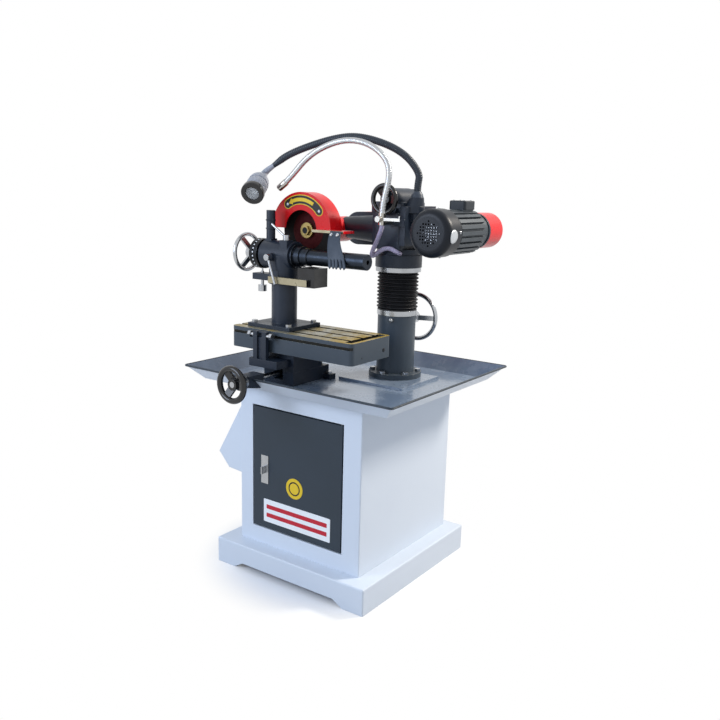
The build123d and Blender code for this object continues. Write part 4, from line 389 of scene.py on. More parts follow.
# Ground steel of the arbor, blued by heat and oil: dark slate with long soft reflections.
BLUED_STEEL = Finish(
    "oil_blued_steel", "bright_steel", "#2C333D", 0.35, metallic=0.85, patch_colour="#20262E",
    patch_size=28, rough_spread=0.08, edge_round=0.8, wear_colour="#A5A9AE", wear_share=0.5,
)  # fmt: skip
# Polished chrome plate on cast handwheels: a mirror with a little haze.
CHROME = Finish(
    "polished_chrome_plate", "chrome_plate", "#B6B9BD", 0.2, metallic=1.0, patch_colour="#9A9EA3",
    patch_size=30, rough_spread=0.05, edge_round=0.8,
)  # fmt: skip
# Wound stainless strip of the hose: grey, satin, each turn with its own bright line.
WOUND_STAINLESS = Finish(
    "wound_stainless_strip", "chrome_plate", "#BDC0C4", 0.28, metallic=1.0, patch_colour="#A4A7AB",
    patch_size=24, rough_spread=0.08,
)  # fmt: skip
# Steel blackened in hot oil: nearly black, with a dull metal sheen and rubbed edges.
BLACKED_STEEL = Finish(
    "oil_blacked_steel", "blackened_steel", "#1D1F22", 0.36, metallic=0.7, gloss=0.4,
    patch_colour="#2A2D31", patch_size=20, rough_spread=0.1, edge_round=0.8, wear_colour="#9A9C9F",
    wear_share=0.6,
)  # fmt: skip
# Turned brass, a little dulled by coolant.
BRASS = Finish(
    "turned_brass", "brass", "#A8935C", 0.34, metallic=0.9, patch_colour="#7A6838", patch_size=14,
    rough_spread=0.1, grain_size=0.8, grain_height=0.02, edge_round=0.7,
)  # fmt: skip
# Nickel-plated brass fittings: warm silver, softly mirrored.
NICKEL = Finish(
    "nickel_plated_brass", "brass", "#B4B1AC", 0.2, metallic=1.0, patch_colour="#979289",
    patch_size=22, rough_spread=0.06, edge_round=0.7,
)  # fmt: skip
# Satin blue-black enamel on the pressed fan cover.
BLACK_ENAMEL = Finish(
    "satin_black_enamel", "black_enamel", "#0C131D", 0.36, gloss=0.26, patch_colour="#101823",
    patch_size=60, rough_spread=0.05, grain_size=3, grain_height=0.04, edge_round=1.0,
)  # fmt: skip
# Thin grey-black enamel over die-cast ribbed aluminium: dull, with pale rubbed metal on the ribs' edges
# that is also a painted highlight along the rib tips.
MOTOR_ALLOY = Finish(
    "enamelled_motor_alloy", "motor_alloy", "#434A50", 0.42, metallic=0.25, gloss=0.3,
    patch_colour="#353B41", patch_size=40, rough_spread=0.06, grain_size=1.5, grain_height=0.05,
    edge_round=1.0, wear_colour="#A9AEB2", wear_share=0.3,
)  # fmt: skip
# Compression-moulded phenolic: deep black with a hard polished gloss.
PHENOLIC = Finish(
    "moulded_black_phenolic", "black_moulding", "#0C0D10", 0.22, gloss=0.45, patch_colour="#121317",
    patch_size=30, rough_spread=0.06, edge_round=1.5, coat=0.15,
)  # fmt: skip
# Moulded terminal cover of filled polyester: slate grey, dull.
COVER_GREY = Finish(
    "moulded_cover_grey", "black_moulding", "#1F262D", 0.44, gloss=0.3, patch_colour="#262E36",
    patch_size=40, grain_size=1.4, grain_height=0.05, edge_round=2.0,
)  # fmt: skip
# PVC sleeve over the lamp's arm: dark blue grey, softly shining.
ARM_SLEEVE = Finish(
    "sleeved_lamp_arm", "black_moulding", "#27303B", 0.36, gloss=0.4, patch_colour="#303A46",
    patch_size=30, rough_spread=0.05, grain_size=2, grain_height=0.05,
)  # fmt: skip
# Moulded grey thermoplastic of the lamp's head: cool silver grey, fine spark-eroded texture.
LAMP_GREY = Finish(
    "moulded_lamp_grey", "lamp_moulding", "#A0A4AE", 0.34, gloss=0.4, patch_colour="#949AA4",
    patch_size=40, rough_spread=0.05, grain_size=1.2, grain_height=0.04, edge_round=0.8,
)  # fmt: skip
# Lamp foot of the same moulding in a darker blue grey.
FOOT_GREY = Finish(
    "moulded_foot_grey", "black_enamel", "#3E4856", 0.34, gloss=0.4, patch_colour="#353F4C",
    patch_size=30, rough_spread=0.05, grain_size=1.2, grain_height=0.05, edge_round=1.0,
)  # fmt: skip
# Pressed clear glass of the lamp, frosted by its rings.
LAMP_GLASS = Finish(
    "pressed_lamp_glass", "lamp_glass", "#EEF1F3", 0.12, transmission=0.75, patch_colour="#DDE3E6",
    patch_size=9, grain_size=4, grain_height=0.6,
)  # fmt: skip
# Moulded nitrile rubber: matt black, greyed a little by dust.
RUBBER = Finish(
    "moulded_nitrile_rubber", "black_rubber", "#121317", 0.5, gloss=0.35, patch_colour="#1B1D22",
    patch_size=35, grain_size=2.5, grain_height=0.05,
)  # fmt: skip
# Sheet rubber of the splash flap: slate blue, dull, creased.
SHEET_RUBBER = Finish(
    "cut_sheet_rubber", "black_rubber", "#34404F", 0.5, gloss=0.4, patch_colour="#2B3542",
    patch_size=25, grain_size=6, grain_height=0.25,
)  # fmt: skip
# Vitrified grinding wheel: dark bonded grit, drawn coarser than real so that it shows.
ABRASIVE = Finish(
    "vitrified_abrasive", "abrasive", "#1C1A19", 0.85, gloss=0.15, patch_colour="#2A2725", patch_size=3,
    patch_share=0.8, grain_size=1.4, grain_height=0.5,
)  # fmt: skip
# Blotting-paper washer on the wheel: matt, with a soft fibre; its dark red is painted shade standing in
# for the red guard's shaded inside.
SHADE_RED_BLOTTER = Finish(
    "blotter_paper_painted_shade", "red_enamel", "#430E10", 0.75, gloss=0.15, patch_colour="#2E0A0C",
    patch_size=10, grain_size=1.5, grain_height=0.06,
)  # fmt: skip
# Extruded nylon pipe: milky lilac, light comes through its wall.
NYLON = Finish(
    "extruded_nylon", "clear_tube", "#C9C1DC", 0.25, transmission=0.25, patch_colour="#B7ACCF",
    patch_size=20, scatter=0.3,
)  # fmt: skip
# Injection-moulded push buttons.
GREEN_BUTTON = Finish(
    "moulded_green_button", "green_button", "#1F8A45", 0.28, patch_colour="#1A7A3C", patch_size=12,
    edge_round=0.8, coat=0.2,
)  # fmt: skip
RED_BUTTON = Finish(
    "moulded_red_button", "red_button", "#C4161A", 0.28, patch_colour="#B01216", patch_size=12,
    edge_round=0.8, coat=0.2,
)  # fmt: skip
# Screen-printed aluminium plates: flat inks with a thin clear lacquer.
WHITE_PLATE = Finish(
    "lacquered_white_plate", "white_enamel", "#F3F6F8", 0.3, gloss=0.4, patch_colour="#ECF0F4",
    patch_size=50, coat=0.1,
)  # fmt: skip
RED_INK = Finish(
    "printed_red_ink", "red_enamel", "#C3142E", 0.35, gloss=0.4, patch_colour="#B5112A", patch_size=30
)
YELLOW_INK = Finish(
    "printed_yellow_ink", "brass", "#E6C42A", 0.35, gloss=0.4, patch_colour="#DAB620", patch_size=25
)
BLACK_INK = Finish(
    "printed_black_ink", "black_enamel", "#0B0C0E", 0.38, gloss=0.35, patch_colour="#121417",
    patch_size=25,
)  # fmt: skip
# Bare rolled aluminium of blank labels and the fan: pale, finely brushed.
ALUMINIUM = Finish(
    "rolled_aluminium", "bright_steel", "#C9CDD1", 0.34, metallic=0.7, patch_colour="#B5BABF",
    patch_size=14, grain_size=1.0, grain_height=0.03,
)  # fmt: skip
# Cold-drawn flat steel under a yellowish oil film.
DRAWN_STEEL = Finish(
    "oiled_drawn_steel", "bright_steel", "#A39A80", 0.34, metallic=0.7, patch_colour="#857A58",
    patch_size=30, rough_spread=0.1, grain_size=1.2, grain_height=0.04, edge_round=0.8,
)  # fmt: skip


class Facing(Enum):
    """Side of the machine that a flat piece looks out of, as its own X and Y in the frame."""

    FRONT = ((1, 0, 0), (0, 0, 1))
    RIGHT = ((0, 1, 0), (0, 0, 1))
    UP = ((1, 0, 0), (0, 1, 0))

    def at(self, place: Sequence[float]) -> Matrix:
        """Puts a piece on this side.

        Args:
            place: Place of the piece's own zero point, in millimetres.

        Returns:
            Frame of the piece, with Z out of the machine.
        """
        across, up = (Vector(v) for v in self.value)
        turn = Matrix((across, up, across.cross(up))).transposed().to_4x4()
        return Matrix.Translation(Vector(place)) @ turn


def along(place: Sequence[float], axis: Sequence[float]) -> Matrix:
    """Frame at a place in millimetres whose own Z points along an axis."""
    return Matrix.Translation(Vector(place)) @ Vector(axis).to_track_quat("Z", "Y").to_matrix().to_4x4()


def corners(node: str) -> tuple[Vector, Vector]:
    """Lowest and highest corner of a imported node, in millimetres."""
    low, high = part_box(node)
    return low / MM, high / MM


def middle_of(node: str) -> Vector:
    """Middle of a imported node's box, in millimetres."""
    low, high = corners(node)
    return (low + high) / 2


def held(value: float) -> float:
    """Value held between 0 and 1."""
    return min(max(value, 0.0), 1.0)


def dress(finish: Finish, *nodes: str) -> None:
    """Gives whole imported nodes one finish.

    Args:
        finish: Finish that they get.
        nodes: Names of the nodes.
    """
    for name in nodes:
        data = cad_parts[name].data
        data.materials.clear()
        data.materials.append(finish.material())


def dress_faces(node: str, finish: Finish, chosen: Callable[[Vector, Vector], bool]) -> None:
    """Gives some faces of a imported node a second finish.

    Args:
        node: Name of the node, already dressed.
        finish: Finish of the chosen faces.
        chosen: Test of a face's middle, in millimetres, and its normal.
    """
    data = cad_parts[node].data
    data.materials.append(finish.material())
    for face in data.polygons:
        if chosen(face.center / MM, face.normal):
            face.material_index = len(data.materials) - 1


def smooth_route(points: Sequence[Sequence[float]], steps: int) -> list[Vector]:
    """Points along the NURBS line that has a route's points as its control points.

    Args:
        points: Route in millimetres.
        steps: Points read for each stretch of the line.

    Returns:
        The line's points, in order.
    """
    curve = bpy.data.curves.new("route", "CURVE")
    curve.dimensions = "3D"
    curve.resolution_u = steps
    spline = curve.splines.new("NURBS")
    spline.points.add(len(points) - 1)
    for target, place in zip(spline.points, points):
        target.co = (*place, 1.0)
    spline.order_u = 3
    spline.use_endpoint_u = True
    holder = bpy.data.objects.new("route", curve)
    bpy.context.scene.collection.objects.link(holder)
    bpy.context.view_layer.update()
    line = bpy.data.meshes.new_from_object(holder)
    found = [v.co.copy() for v in line.vertices]
    bpy.data.objects.remove(holder)
    bpy.data.meshes.remove(line)
    bpy.data.curves.remove(curve)
    return found


def run_lengths(path: Sequence[Vector]) -> list[float]:
    """Length of a path up to each of its points."""
    return list(accumulate(((b - a).length for a, b in zip(path, path[1:])), initial=0.0))


class Form:
    """A mesh in the making, in millimetres in the machine's frame."""

    def __init__(self) -> None:
        """Starts with no points."""
        self.mesh = bmesh.new()

    def row(self, points: Iterable[Sequence[float]]) -> list[bmesh.types.BMVert]:
        """Adds a row of points to the mesh."""
        return [self.mesh.verts.new(p) for p in points]

    def skin(self, loops: Sequence[Sequence[bmesh.types.BMVert]], closed: bool = True) -> None:
        """Joins neighbouring loops with faces.

        Args:
            loops: Rows of points, each as long as the others or a single point.
            closed: Whether each row is a ring.
        """
        longest = max(len(loop) for loop in loops)
        for low, high in zip(loops, loops[1:]):
            for i in range(longest if closed else longest - 1):
                j = (i + 1) % longest
                ring = (low[i % len(low)], low[j % len(low)], high[j % len(high)], high[i % len(high)])
                face = list(dict.fromkeys(ring))
                if len(face) > 2:
                    self.mesh.faces.new(face)

    def turn(
        self,
        profile: Sequence[tuple[float, float]],
        place: Matrix,
        sides: int = ROUND_SIDES,
        flute: float = 0.0,
    ) -> None:
        """Turns a profile round the placed Z axis.

        Args:
            profile: Radius and height of each point; a radius of zero closes the form.
            place: Frame of the turned form.
            sides: Points on each ring.
            flute: Depth of fine flutes along the form, one to every four points.
        """
        rings = []
        for radius, height in profile:
            count = sides if radius > 0 else 1
            spokes = ((math.tau * k / count, radius - flute * (k % 4 // 2)) for k in range(count))
            rings.append(
                self.row(place @ Vector((r * math.cos(a), r * math.sin(a), height)) for a, r in spokes)
            )
        self.skin(rings)

    def sweep(self, path: Sequence[Vector], radii: Sequence[float], sides: int) -> None:
        """Lays a round tube along a path, closed at its ends.

        Args:
            path: Points of the middle line.
            radii: Radius at each point.
            sides: Points on each ring.
        """
        across = Vector((0, 0, 1)).cross(path[1] - path[0])
        across = across if across.length > NEAR else Vector((1, 0, 0))
        turns = [math.tau * k / sides for k in range(sides)]
        rings = []
        for i, (place, radius) in enumerate(zip(path, radii)):
            ahead = (path[min(i + 1, len(path) - 1)] - path[max(i - 1, 0)]).normalized()
            across = (across - ahead * across.dot(ahead)).normalized()
            side = ahead.cross(across)
            rings.append(
                self.row(place + radius * (across * math.cos(a) + side * math.sin(a)) for a in turns)
            )
        self.skin(rings)
        self.mesh.faces.new(rings[0])
        self.mesh.faces.new(rings[-1])

    def plate(
        self, outline: Sequence[tuple[float, float]], thickness: float, place: Matrix, edge: float
    ) -> None:
        """Adds a flat plate with an eased front edge.

        Args:
            outline: Corners in order, counter-clockwise seen from the front.
            thickness: Height of the plate over the placed plane.
            place: Frame of the plate, with Z out of its front.
            edge: Width of the eased edge.
        """
        flat = [Vector(p) for p in outline]
        count = len(flat)
        inset = []
        for i in range(count):
            before = (flat[i] - flat[i - 1]).normalized()
            after = (flat[(i + 1) % count] - flat[i]).normalized()
            inward = Vector((-before.y - after.y, before.x + after.x))
            inset.append(flat[i] + inward * edge / max(1 + before.dot(after), SHARPEST_CORNER))
        levels = ((flat, 0.0), (flat, thickness - edge), (inset, thickness))
        rows = [self.row(place @ Vector((*p, height)) for p in points) for points, height in levels]
        self.skin(rows)
        self.mesh.faces.new(rows[0])
        self.mesh.faces.new(rows[-1])

    def screw(self, place: Matrix, radius: float, height: float) -> None:
        """Adds a domed screw head with a washer face and a socket.

        Args:
            place: Frame of the screw, with Z out of its head.
            radius: Radius of the dome.
            height: Height of the dome's top.
        """
        self.turn([(radius * r, height * h) for r, h in SCREW_HEAD], place, SCREW_SIDES)

    def piece(self, name: str, finish: Finish, body: str) -> bpy.types.Object:
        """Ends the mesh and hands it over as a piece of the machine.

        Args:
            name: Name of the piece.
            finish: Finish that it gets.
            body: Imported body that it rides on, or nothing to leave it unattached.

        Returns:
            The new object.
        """
        bmesh.ops.recalc_face_normals(self.mesh, faces=self.mesh.faces)
        bmesh.ops.scale(self.mesh, vec=(MM, MM, MM), verts=self.mesh.verts)
        for face in self.mesh.faces:
            face.smooth = True
        for edge in self.mesh.edges:
            if len(edge.link_faces) == 2 and edge.calc_face_angle(0) > SHARP_ANGLE:
                edge.smooth = False
        data = bpy.data.meshes.new(name)
        self.mesh.to_mesh(data)
        self.mesh.free()
        data.materials.append(finish.material())
        made = bpy.data.objects.new(name, data)
        bpy.context.scene.collection.objects.link(made)
        if body:
            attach(made, body)
        log.info("%s rides on %s", name, body or "two bodies")
        return made


def rounded(low: tuple[float, float], high: tuple[float, float], corner: float) -> list:
    """Outline of a rectangle with round corners.

    Args:
        low: Left and lower side.
        high: Right and upper side.
        corner: Radius of the corners.

    Returns:
        Points in order, counter-clockwise.
    """
    middles = (
        (high[0] - corner, high[1] - corner, 0),
        (low[0] + corner, high[1] - corner, 1),
        (low[0] + corner, low[1] + corner, 2),
        (high[0] - corner, low[1] + corner, 3),
    )
    return [
        (
            x + corner * math.cos(math.pi / 2 * (quarter + k / CORNER_STEPS)),
            y + corner * math.sin(math.pi / 2 * (quarter + k / CORNER_STEPS)),
        )
        for x, y, quarter in middles
        for k in range(CORNER_STEPS + 1)
    ]


@dataclass
class Stand:
    """Plinth, cabinet with its door, and the control box."""

    plate_left: float = -137.0
    plate_right: float = 129.0
    plate_foot: float = 163.0
    plate_top: float = 239.0
    plate_sheet: float = 1.2
    plate_corner: float = 3.0
    plate_edge: float = 0.4
    stripe_height: float = 14.0
    stripe_margin: float = 12.0
    stripe_corner: float = 2.0
    stripe_ink: float = 0.2
    stripe_edge: float = 0.05
    disc_x: float = -12.0
    disc_z: float = 300.0
    disc_radius: float = 33.0
    disc_sheet: float = 0.9
    disc_edge: float = 0.4
    ring_shares: tuple[float, float] = (0.55, 0.68)
    ring_ink: float = 0.15

    def dress(self) -> None:
        """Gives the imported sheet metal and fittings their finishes."""
        dress(WHITE_ENAMEL, "plinth", "cabinet", "control_box")
        dress(SLATE_ENAMEL, "door")
        dress(TURNED_STEEL, "latch_plate", "latch_key", "hinge_pins")
        dress(GREEN_BUTTON, "start_button")
        dress(RED_BUTTON, "stop_button")

    def build(self) -> None:
        """Adds the door's plain plate and plain disc."""
        front = corners("door")[0].y
        facing = Facing.FRONT
        low, high = (self.plate_left, self.plate_foot), (self.plate_right, self.plate_top)
        plate = Form()
        plate.plate(
            rounded(low, high, self.plate_corner),
            self.plate_sheet,
            facing.at((0, front, 0)),
            self.plate_edge,
        )
        plate.piece("door_plate", WHITE_PLATE, "door")
        stripes = Form()
        left, right = self.plate_left + self.stripe_margin, self.plate_right - self.stripe_margin
        middle = (self.plate_foot + self.plate_top) / 2
        for step in (-1, 1):
            foot = middle + step * self.stripe_height - self.stripe_height / 2
            stripes.plate(
                rounded((left, foot), (right, foot + self.stripe_height), self.stripe_corner),
                self.stripe_ink,
                facing.at((0, front - self.plate_sheet, 0)),
                self.stripe_edge,
            )
        stripes.piece("door_plate_stripes", RED_INK, "door")
        place = facing.at((self.disc_x, front, self.disc_z))
        radius, sheet, edge = self.disc_radius, self.disc_sheet, self.disc_edge
        disc = Form()
        disc.turn(
            [(0, 0), (radius, 0), (radius, sheet - edge), (radius - edge, sheet), (0, sheet)],
            place,
            FINE_SIDES,
        )
        disc.piece("door_disc", YELLOW_INK, "door")
        inner, outer = (radius * share for share in self.ring_shares)
        ring_top = sheet + self.ring_ink
        ring = Form()
        ring.turn(
            [(inner, sheet), (inner, ring_top), (outer, ring_top), (outer, sheet)], place, FINE_SIDES
        )
        ring.piece("door_disc_ring", BLACK_INK, "door")


@dataclass
class Tray:
    """Coolant tray with flared walls."""

    inside_foot: float = 608.0
    wall_reach: float = 60.0
    wall_slant: float = 0.2
    bead_radius: float = 3.2
    bead_corner: float = 9.0
    bead_sides: int = 16
    rim_near: float = 0.01
    notch_clearance: float = 1.0

    def dress(self) -> None:
        """White outside, wet slate inside."""
        dress(WHITE_ENAMEL, "tray")
        inside_x = corners("tray")[1].x - self.wall_reach
        dress_faces(
            "tray",
            WET_ENAMEL,
            lambda middle, normal: normal.z > self.wall_slant
            or (
                middle.z > self.inside_foot
                and abs(middle.x) < inside_x
                and normal.z > -self.wall_slant
            ),
        )

    def build(self) -> None:
        """Adds the rolled rim, open at the notch for the feed screw's bracket."""
        low, high = corners("tray")
        notch_low, notch_high = corners("screw_bracket")
        outline = rounded((low.x, low.y), (high.x, high.y), self.bead_corner)
        level = high.z - self.bead_radius / 2
        start = Vector((notch_high.x + self.notch_clearance, low.y, level))
        end = Vector((notch_low.x - self.notch_clearance, low.y, level))
        front_right = min(range(len(outline)), key=lambda i: outline[i][1] - outline[i][0])
        around = outline[front_right:] + outline[:front_right]
        rim = [Vector((x, y, level)) for x, y in around]
        begin = next(i for i, p in enumerate(rim) if p.y > low.y + self.rim_near) - 1
        path = [start] + rim[begin:] + rim[:begin] + [end]
        bead = Form()
        bead.sweep(path, [self.bead_radius] * len(path), self.bead_sides)
        bead.piece("tray_rim", SLATE_ENAMEL, "base")


@dataclass
class Column:
    """Column, its bellows and the lift behind it."""

    ring_height: float = 14.5
    pleats: int = 10
    valley: float = 59.5
    peak: float = 66.0
    steps: int = 14
    cuff: float = 4.0
    cuff_bore: float = 57.5
    cuff_radius: float = 62.5
    cuff_step: float = 0.1
    oiler_turn: float = -73.0
    oiler_drop: float = 12.0
    oiler_reach: float = 60.0
    oiler_hexagon: Profile = ((0, 0), (7, 0), (7, 6.5), (6, 7.5), (0, 7.5))
    oiler_dome: Profile = ((0, 7), (4, 7), (4, 10), (3, 11.5), (1.5, 12.5), (0, 12.8))
    oiler_sides: int = 20

    def dress(self) -> None:
        """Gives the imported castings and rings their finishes."""
        dress(TABLE_ENAMEL, "column")
        dress(CAST_ENAMEL, "head_collar")
        dress(TURNED_STEEL, "column_bush", "lift_ram", "lift_shaft", "foot_bolts")
        dress(BRASS, "lift_nut")
        dress(CHROME, "lift_handwheel")
        top = corners("bellows")[1].z + self.ring_height
        dress_faces("head_collar", TURNED_STEEL, lambda middle, normal: middle.z < top)

    def build(self) -> None:
        """Adds the pleated bellows and the column's oiler."""
        low, high = corners("bellows")
        middle_x, middle_y = (low.x + high.x) / 2, (low.y + high.y) / 2
        tall = high.z - low.z
        rise = (tall - 2 * self.cuff) / self.pleats
        profile = [(self.cuff_bore, 0), (self.cuff_radius, 0), (self.cuff_radius, self.cuff)]
        for k in range(self.pleats * self.steps + 1):
            turn = k / self.steps
            swell = 0.5 - 0.5 * math.cos(math.tau * turn)
            profile.append(
                (self.valley + (self.peak - self.valley) * swell, self.cuff + rise * turn)
            )
        profile += [(self.cuff_radius, tall - self.cuff + self.cuff_step), (self.cuff_radius, tall)]
        profile += [(self.cuff_bore, tall)]
        bellows = Form()
        bellows.turn(profile, Facing.UP.at((middle_x, middle_y, low.z)), FINE_SIDES)
        piece = bellows.piece("pleated_bellows", RUBBER, "")
        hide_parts("bellows")
        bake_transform(piece)
        self.build_oiler(middle_x, middle_y)

    def build_oiler(self, middle_x: float, middle_y: float) -> None:
        """Adds the small hexagon oiler below the lower ring.

        Args:
            middle_x: X of the column's axis.
            middle_y: Y of the column's axis.
        """
        top = corners("column")[1].z - self.oiler_drop
        turn = math.radians(self.oiler_turn)
        out = Vector((math.cos(turn), math.sin(turn), 0))
        place = along(Vector((middle_x, middle_y, top)) + out * self.oiler_reach, out)
        oiler = Form()
        oiler.turn(self.oiler_hexagon, place, HEXAGON)
        oiler.turn(self.oiler_dome, place, self.oiler_sides)
        oiler.piece("column_oiler", TURNED_STEEL, "base")


@dataclass
class CrossSlide:
    """Cross slide on the tray: base, saddle, feed screw, black handwheel and stops."""

    marks: int = 40
    mark_width: float = 0.7
    mark_length: float = 5.0
    long_mark: float = 9.0
    long_every: int = 5
    mark_ink: float = 0.15
    mark_edge: float = 0.05
    dial_reach: float = 13.0

    def dress(self) -> None:
        """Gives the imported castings, screws and handwheel their finishes."""
        dress(CAST_ENAMEL, "cross_base", "saddle", "screw_bracket", "stop_bracket")
        dress(TURNED_STEEL, "cross_screw", "stop_screws")
        dress(PHENOLIC, "cross_handwheel")

    def build(self) -> None:
        """Adds the dial's marks, which start at its front edge."""
        low, high = corners("cross_screw")
        radius = (high.z - low.z) / 2
        axis = middle_of("cross_handwheel")
        dial_front = corners("screw_bracket")[0].y - self.dial_reach
        half = self.mark_width / 2
        marks = Form()
        for k in range(self.marks):
            turn = math.tau * k / self.marks
            out = Vector((math.cos(turn), 0, math.sin(turn)))
            reach = (self.mark_length if k % self.long_every else self.long_mark) / 2
            place = along(Vector((axis.x, dial_front + reach, axis.z)) + out * radius, out)
            outline = [(-half, -reach), (half, -reach), (half, reach), (-half, reach)]
            marks.plate(outline, self.mark_ink, place, self.mark_edge)
        marks.piece("cross_dial_marks", BLACK_INK, "cross_wheel")


@dataclass
class Table:
    """Slotted table with the post of the work head."""

    wall: float = 15.0
    skirt_drop: float = 25.0
    slot_margin: float = 16.0
    end_margin: float = 8.0
    slot_drop: tuple[float, float] = (1.5, 24.0)
    trough_width: float = 36.0
    groove_drop: tuple[float, float] = (11.5, 20.5)
    groove_depth: float = 8.5
    groove_lip: float = 0.5
    screws: tuple[Place, ...] = ((-67.0, 737.3, 5.5), (-177.4, 728.9, 2.6))
    screw_rise: float = 0.3
    screw_sink: float = 0.3

    def dress(self) -> None:
        """Ground top, enamelled sides, slots and grooves darkened as painted shade, oil in the trough.
        """
        low, high = corners("table")

        def within(place: Vector, margin: float, end: float) -> bool:
            """Whether a place is inside the outline by a margin, and by another at the right end."""
            return (
                low.x + margin < place.x < high.x - end
                and low.y + margin < place.y < high.y - margin
            )

        def sunk(place: Vector, drop: tuple[float, float]) -> bool:
            """Whether a place is between two depths under the top."""
            return high.z - drop[1] < place.z < high.z - drop[0]

        dress(GROUND_IRON, "table")
        dress_faces(
            "table",
            TABLE_ENAMEL,
            lambda middle, normal: normal.z < FACING
            and (not within(middle, self.wall, self.wall) or middle.z < high.z - self.skirt_drop),
        )
        # The slots' faces are drawn near black as painted shade.
        dress_faces(
            "table",
            SHADED_SLOT_IRON,
            lambda middle, normal: within(middle, self.slot_margin, self.end_margin)
            and sunk(middle, self.slot_drop),
        )
        dress_faces(
            "table",
            POOLED_OIL,
            lambda middle, normal: normal.z > FACING
            and high.x - self.trough_width < middle.x < high.x - self.end_margin
            and sunk(middle, self.slot_drop),
        )
        # The grooves' faces are drawn near black as painted shade.
        dress_faces(
            "table",
            SHADED_SLOT_IRON,
            lambda middle, normal: sunk(middle, self.groove_drop)
            and not low.y + self.groove_depth < middle.y < high.y - self.groove_depth
            and low.y + self.groove_lip < middle.y < high.y - self.groove_lip,
        )
        dress(CAST_ENAMEL, "work_post")
        dress(TURNED_STEEL, "post_bolts")

    def build(self) -> None:
        """Adds the two socket screws in the table's right end."""
        right = corners("table")[1].x - self.screw_sink
        form = Form()
        for y, z, radius in self.screws:
            form.screw(Facing.RIGHT.at((right, y, z)), radius, radius * self.screw_rise)
        form.piece("table_end_screws", BLACKED_STEEL, "table")


@dataclass
class WorkHead:
    """Work head with its spindle, index ring, levers and tooth rest."""

    block_length: float = 64.0
    dots: int = 24
    dot_sink: float = 0.4
    dot_profile: Profile = ((0, 0), (2.6, 0), (2.6, 0.6), (1.82, 0.9), (0, 1.0))
    dot_sides: int = 16

    def dress(self) -> None:
        """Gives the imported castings, levers and rings their finishes."""
        dress(CAST_ENAMEL, "work_head")
        dress(DRAWN_STEEL, "tooth_rest")
        dress(TURNED_STEEL, "swivel_lever", "spindle_lever", "index_plunger")
        dress(BLUED_STEEL, "work_spindle")
        dress(BLACKED_STEEL, "index_ring")
        dress(CHROME, "work_handwheel")
        block_left = corners("tooth_rest")[1].x - self.block_length
        dress_faces("tooth_rest", PHENOLIC, lambda middle, normal: middle.x > block_left)

    def build(self) -> None:
        """Adds the white division dots on the index ring's rim."""
        low, high = corners("index_ring")
        radius = (high.z - low.z) / 2 - self.dot_sink
        middle = middle_of("index_ring")
        dots = Form()
        for k in range(self.dots):
            turn = math.tau * (k + 0.5) / self.dots
            out = Vector((0, math.cos(turn), math.sin(turn)))
            dots.turn(self.dot_profile, along(middle + out * radius, out), self.dot_sides)
        dots.piece("index_dots", WHITE_PLATE, "work_spindle")


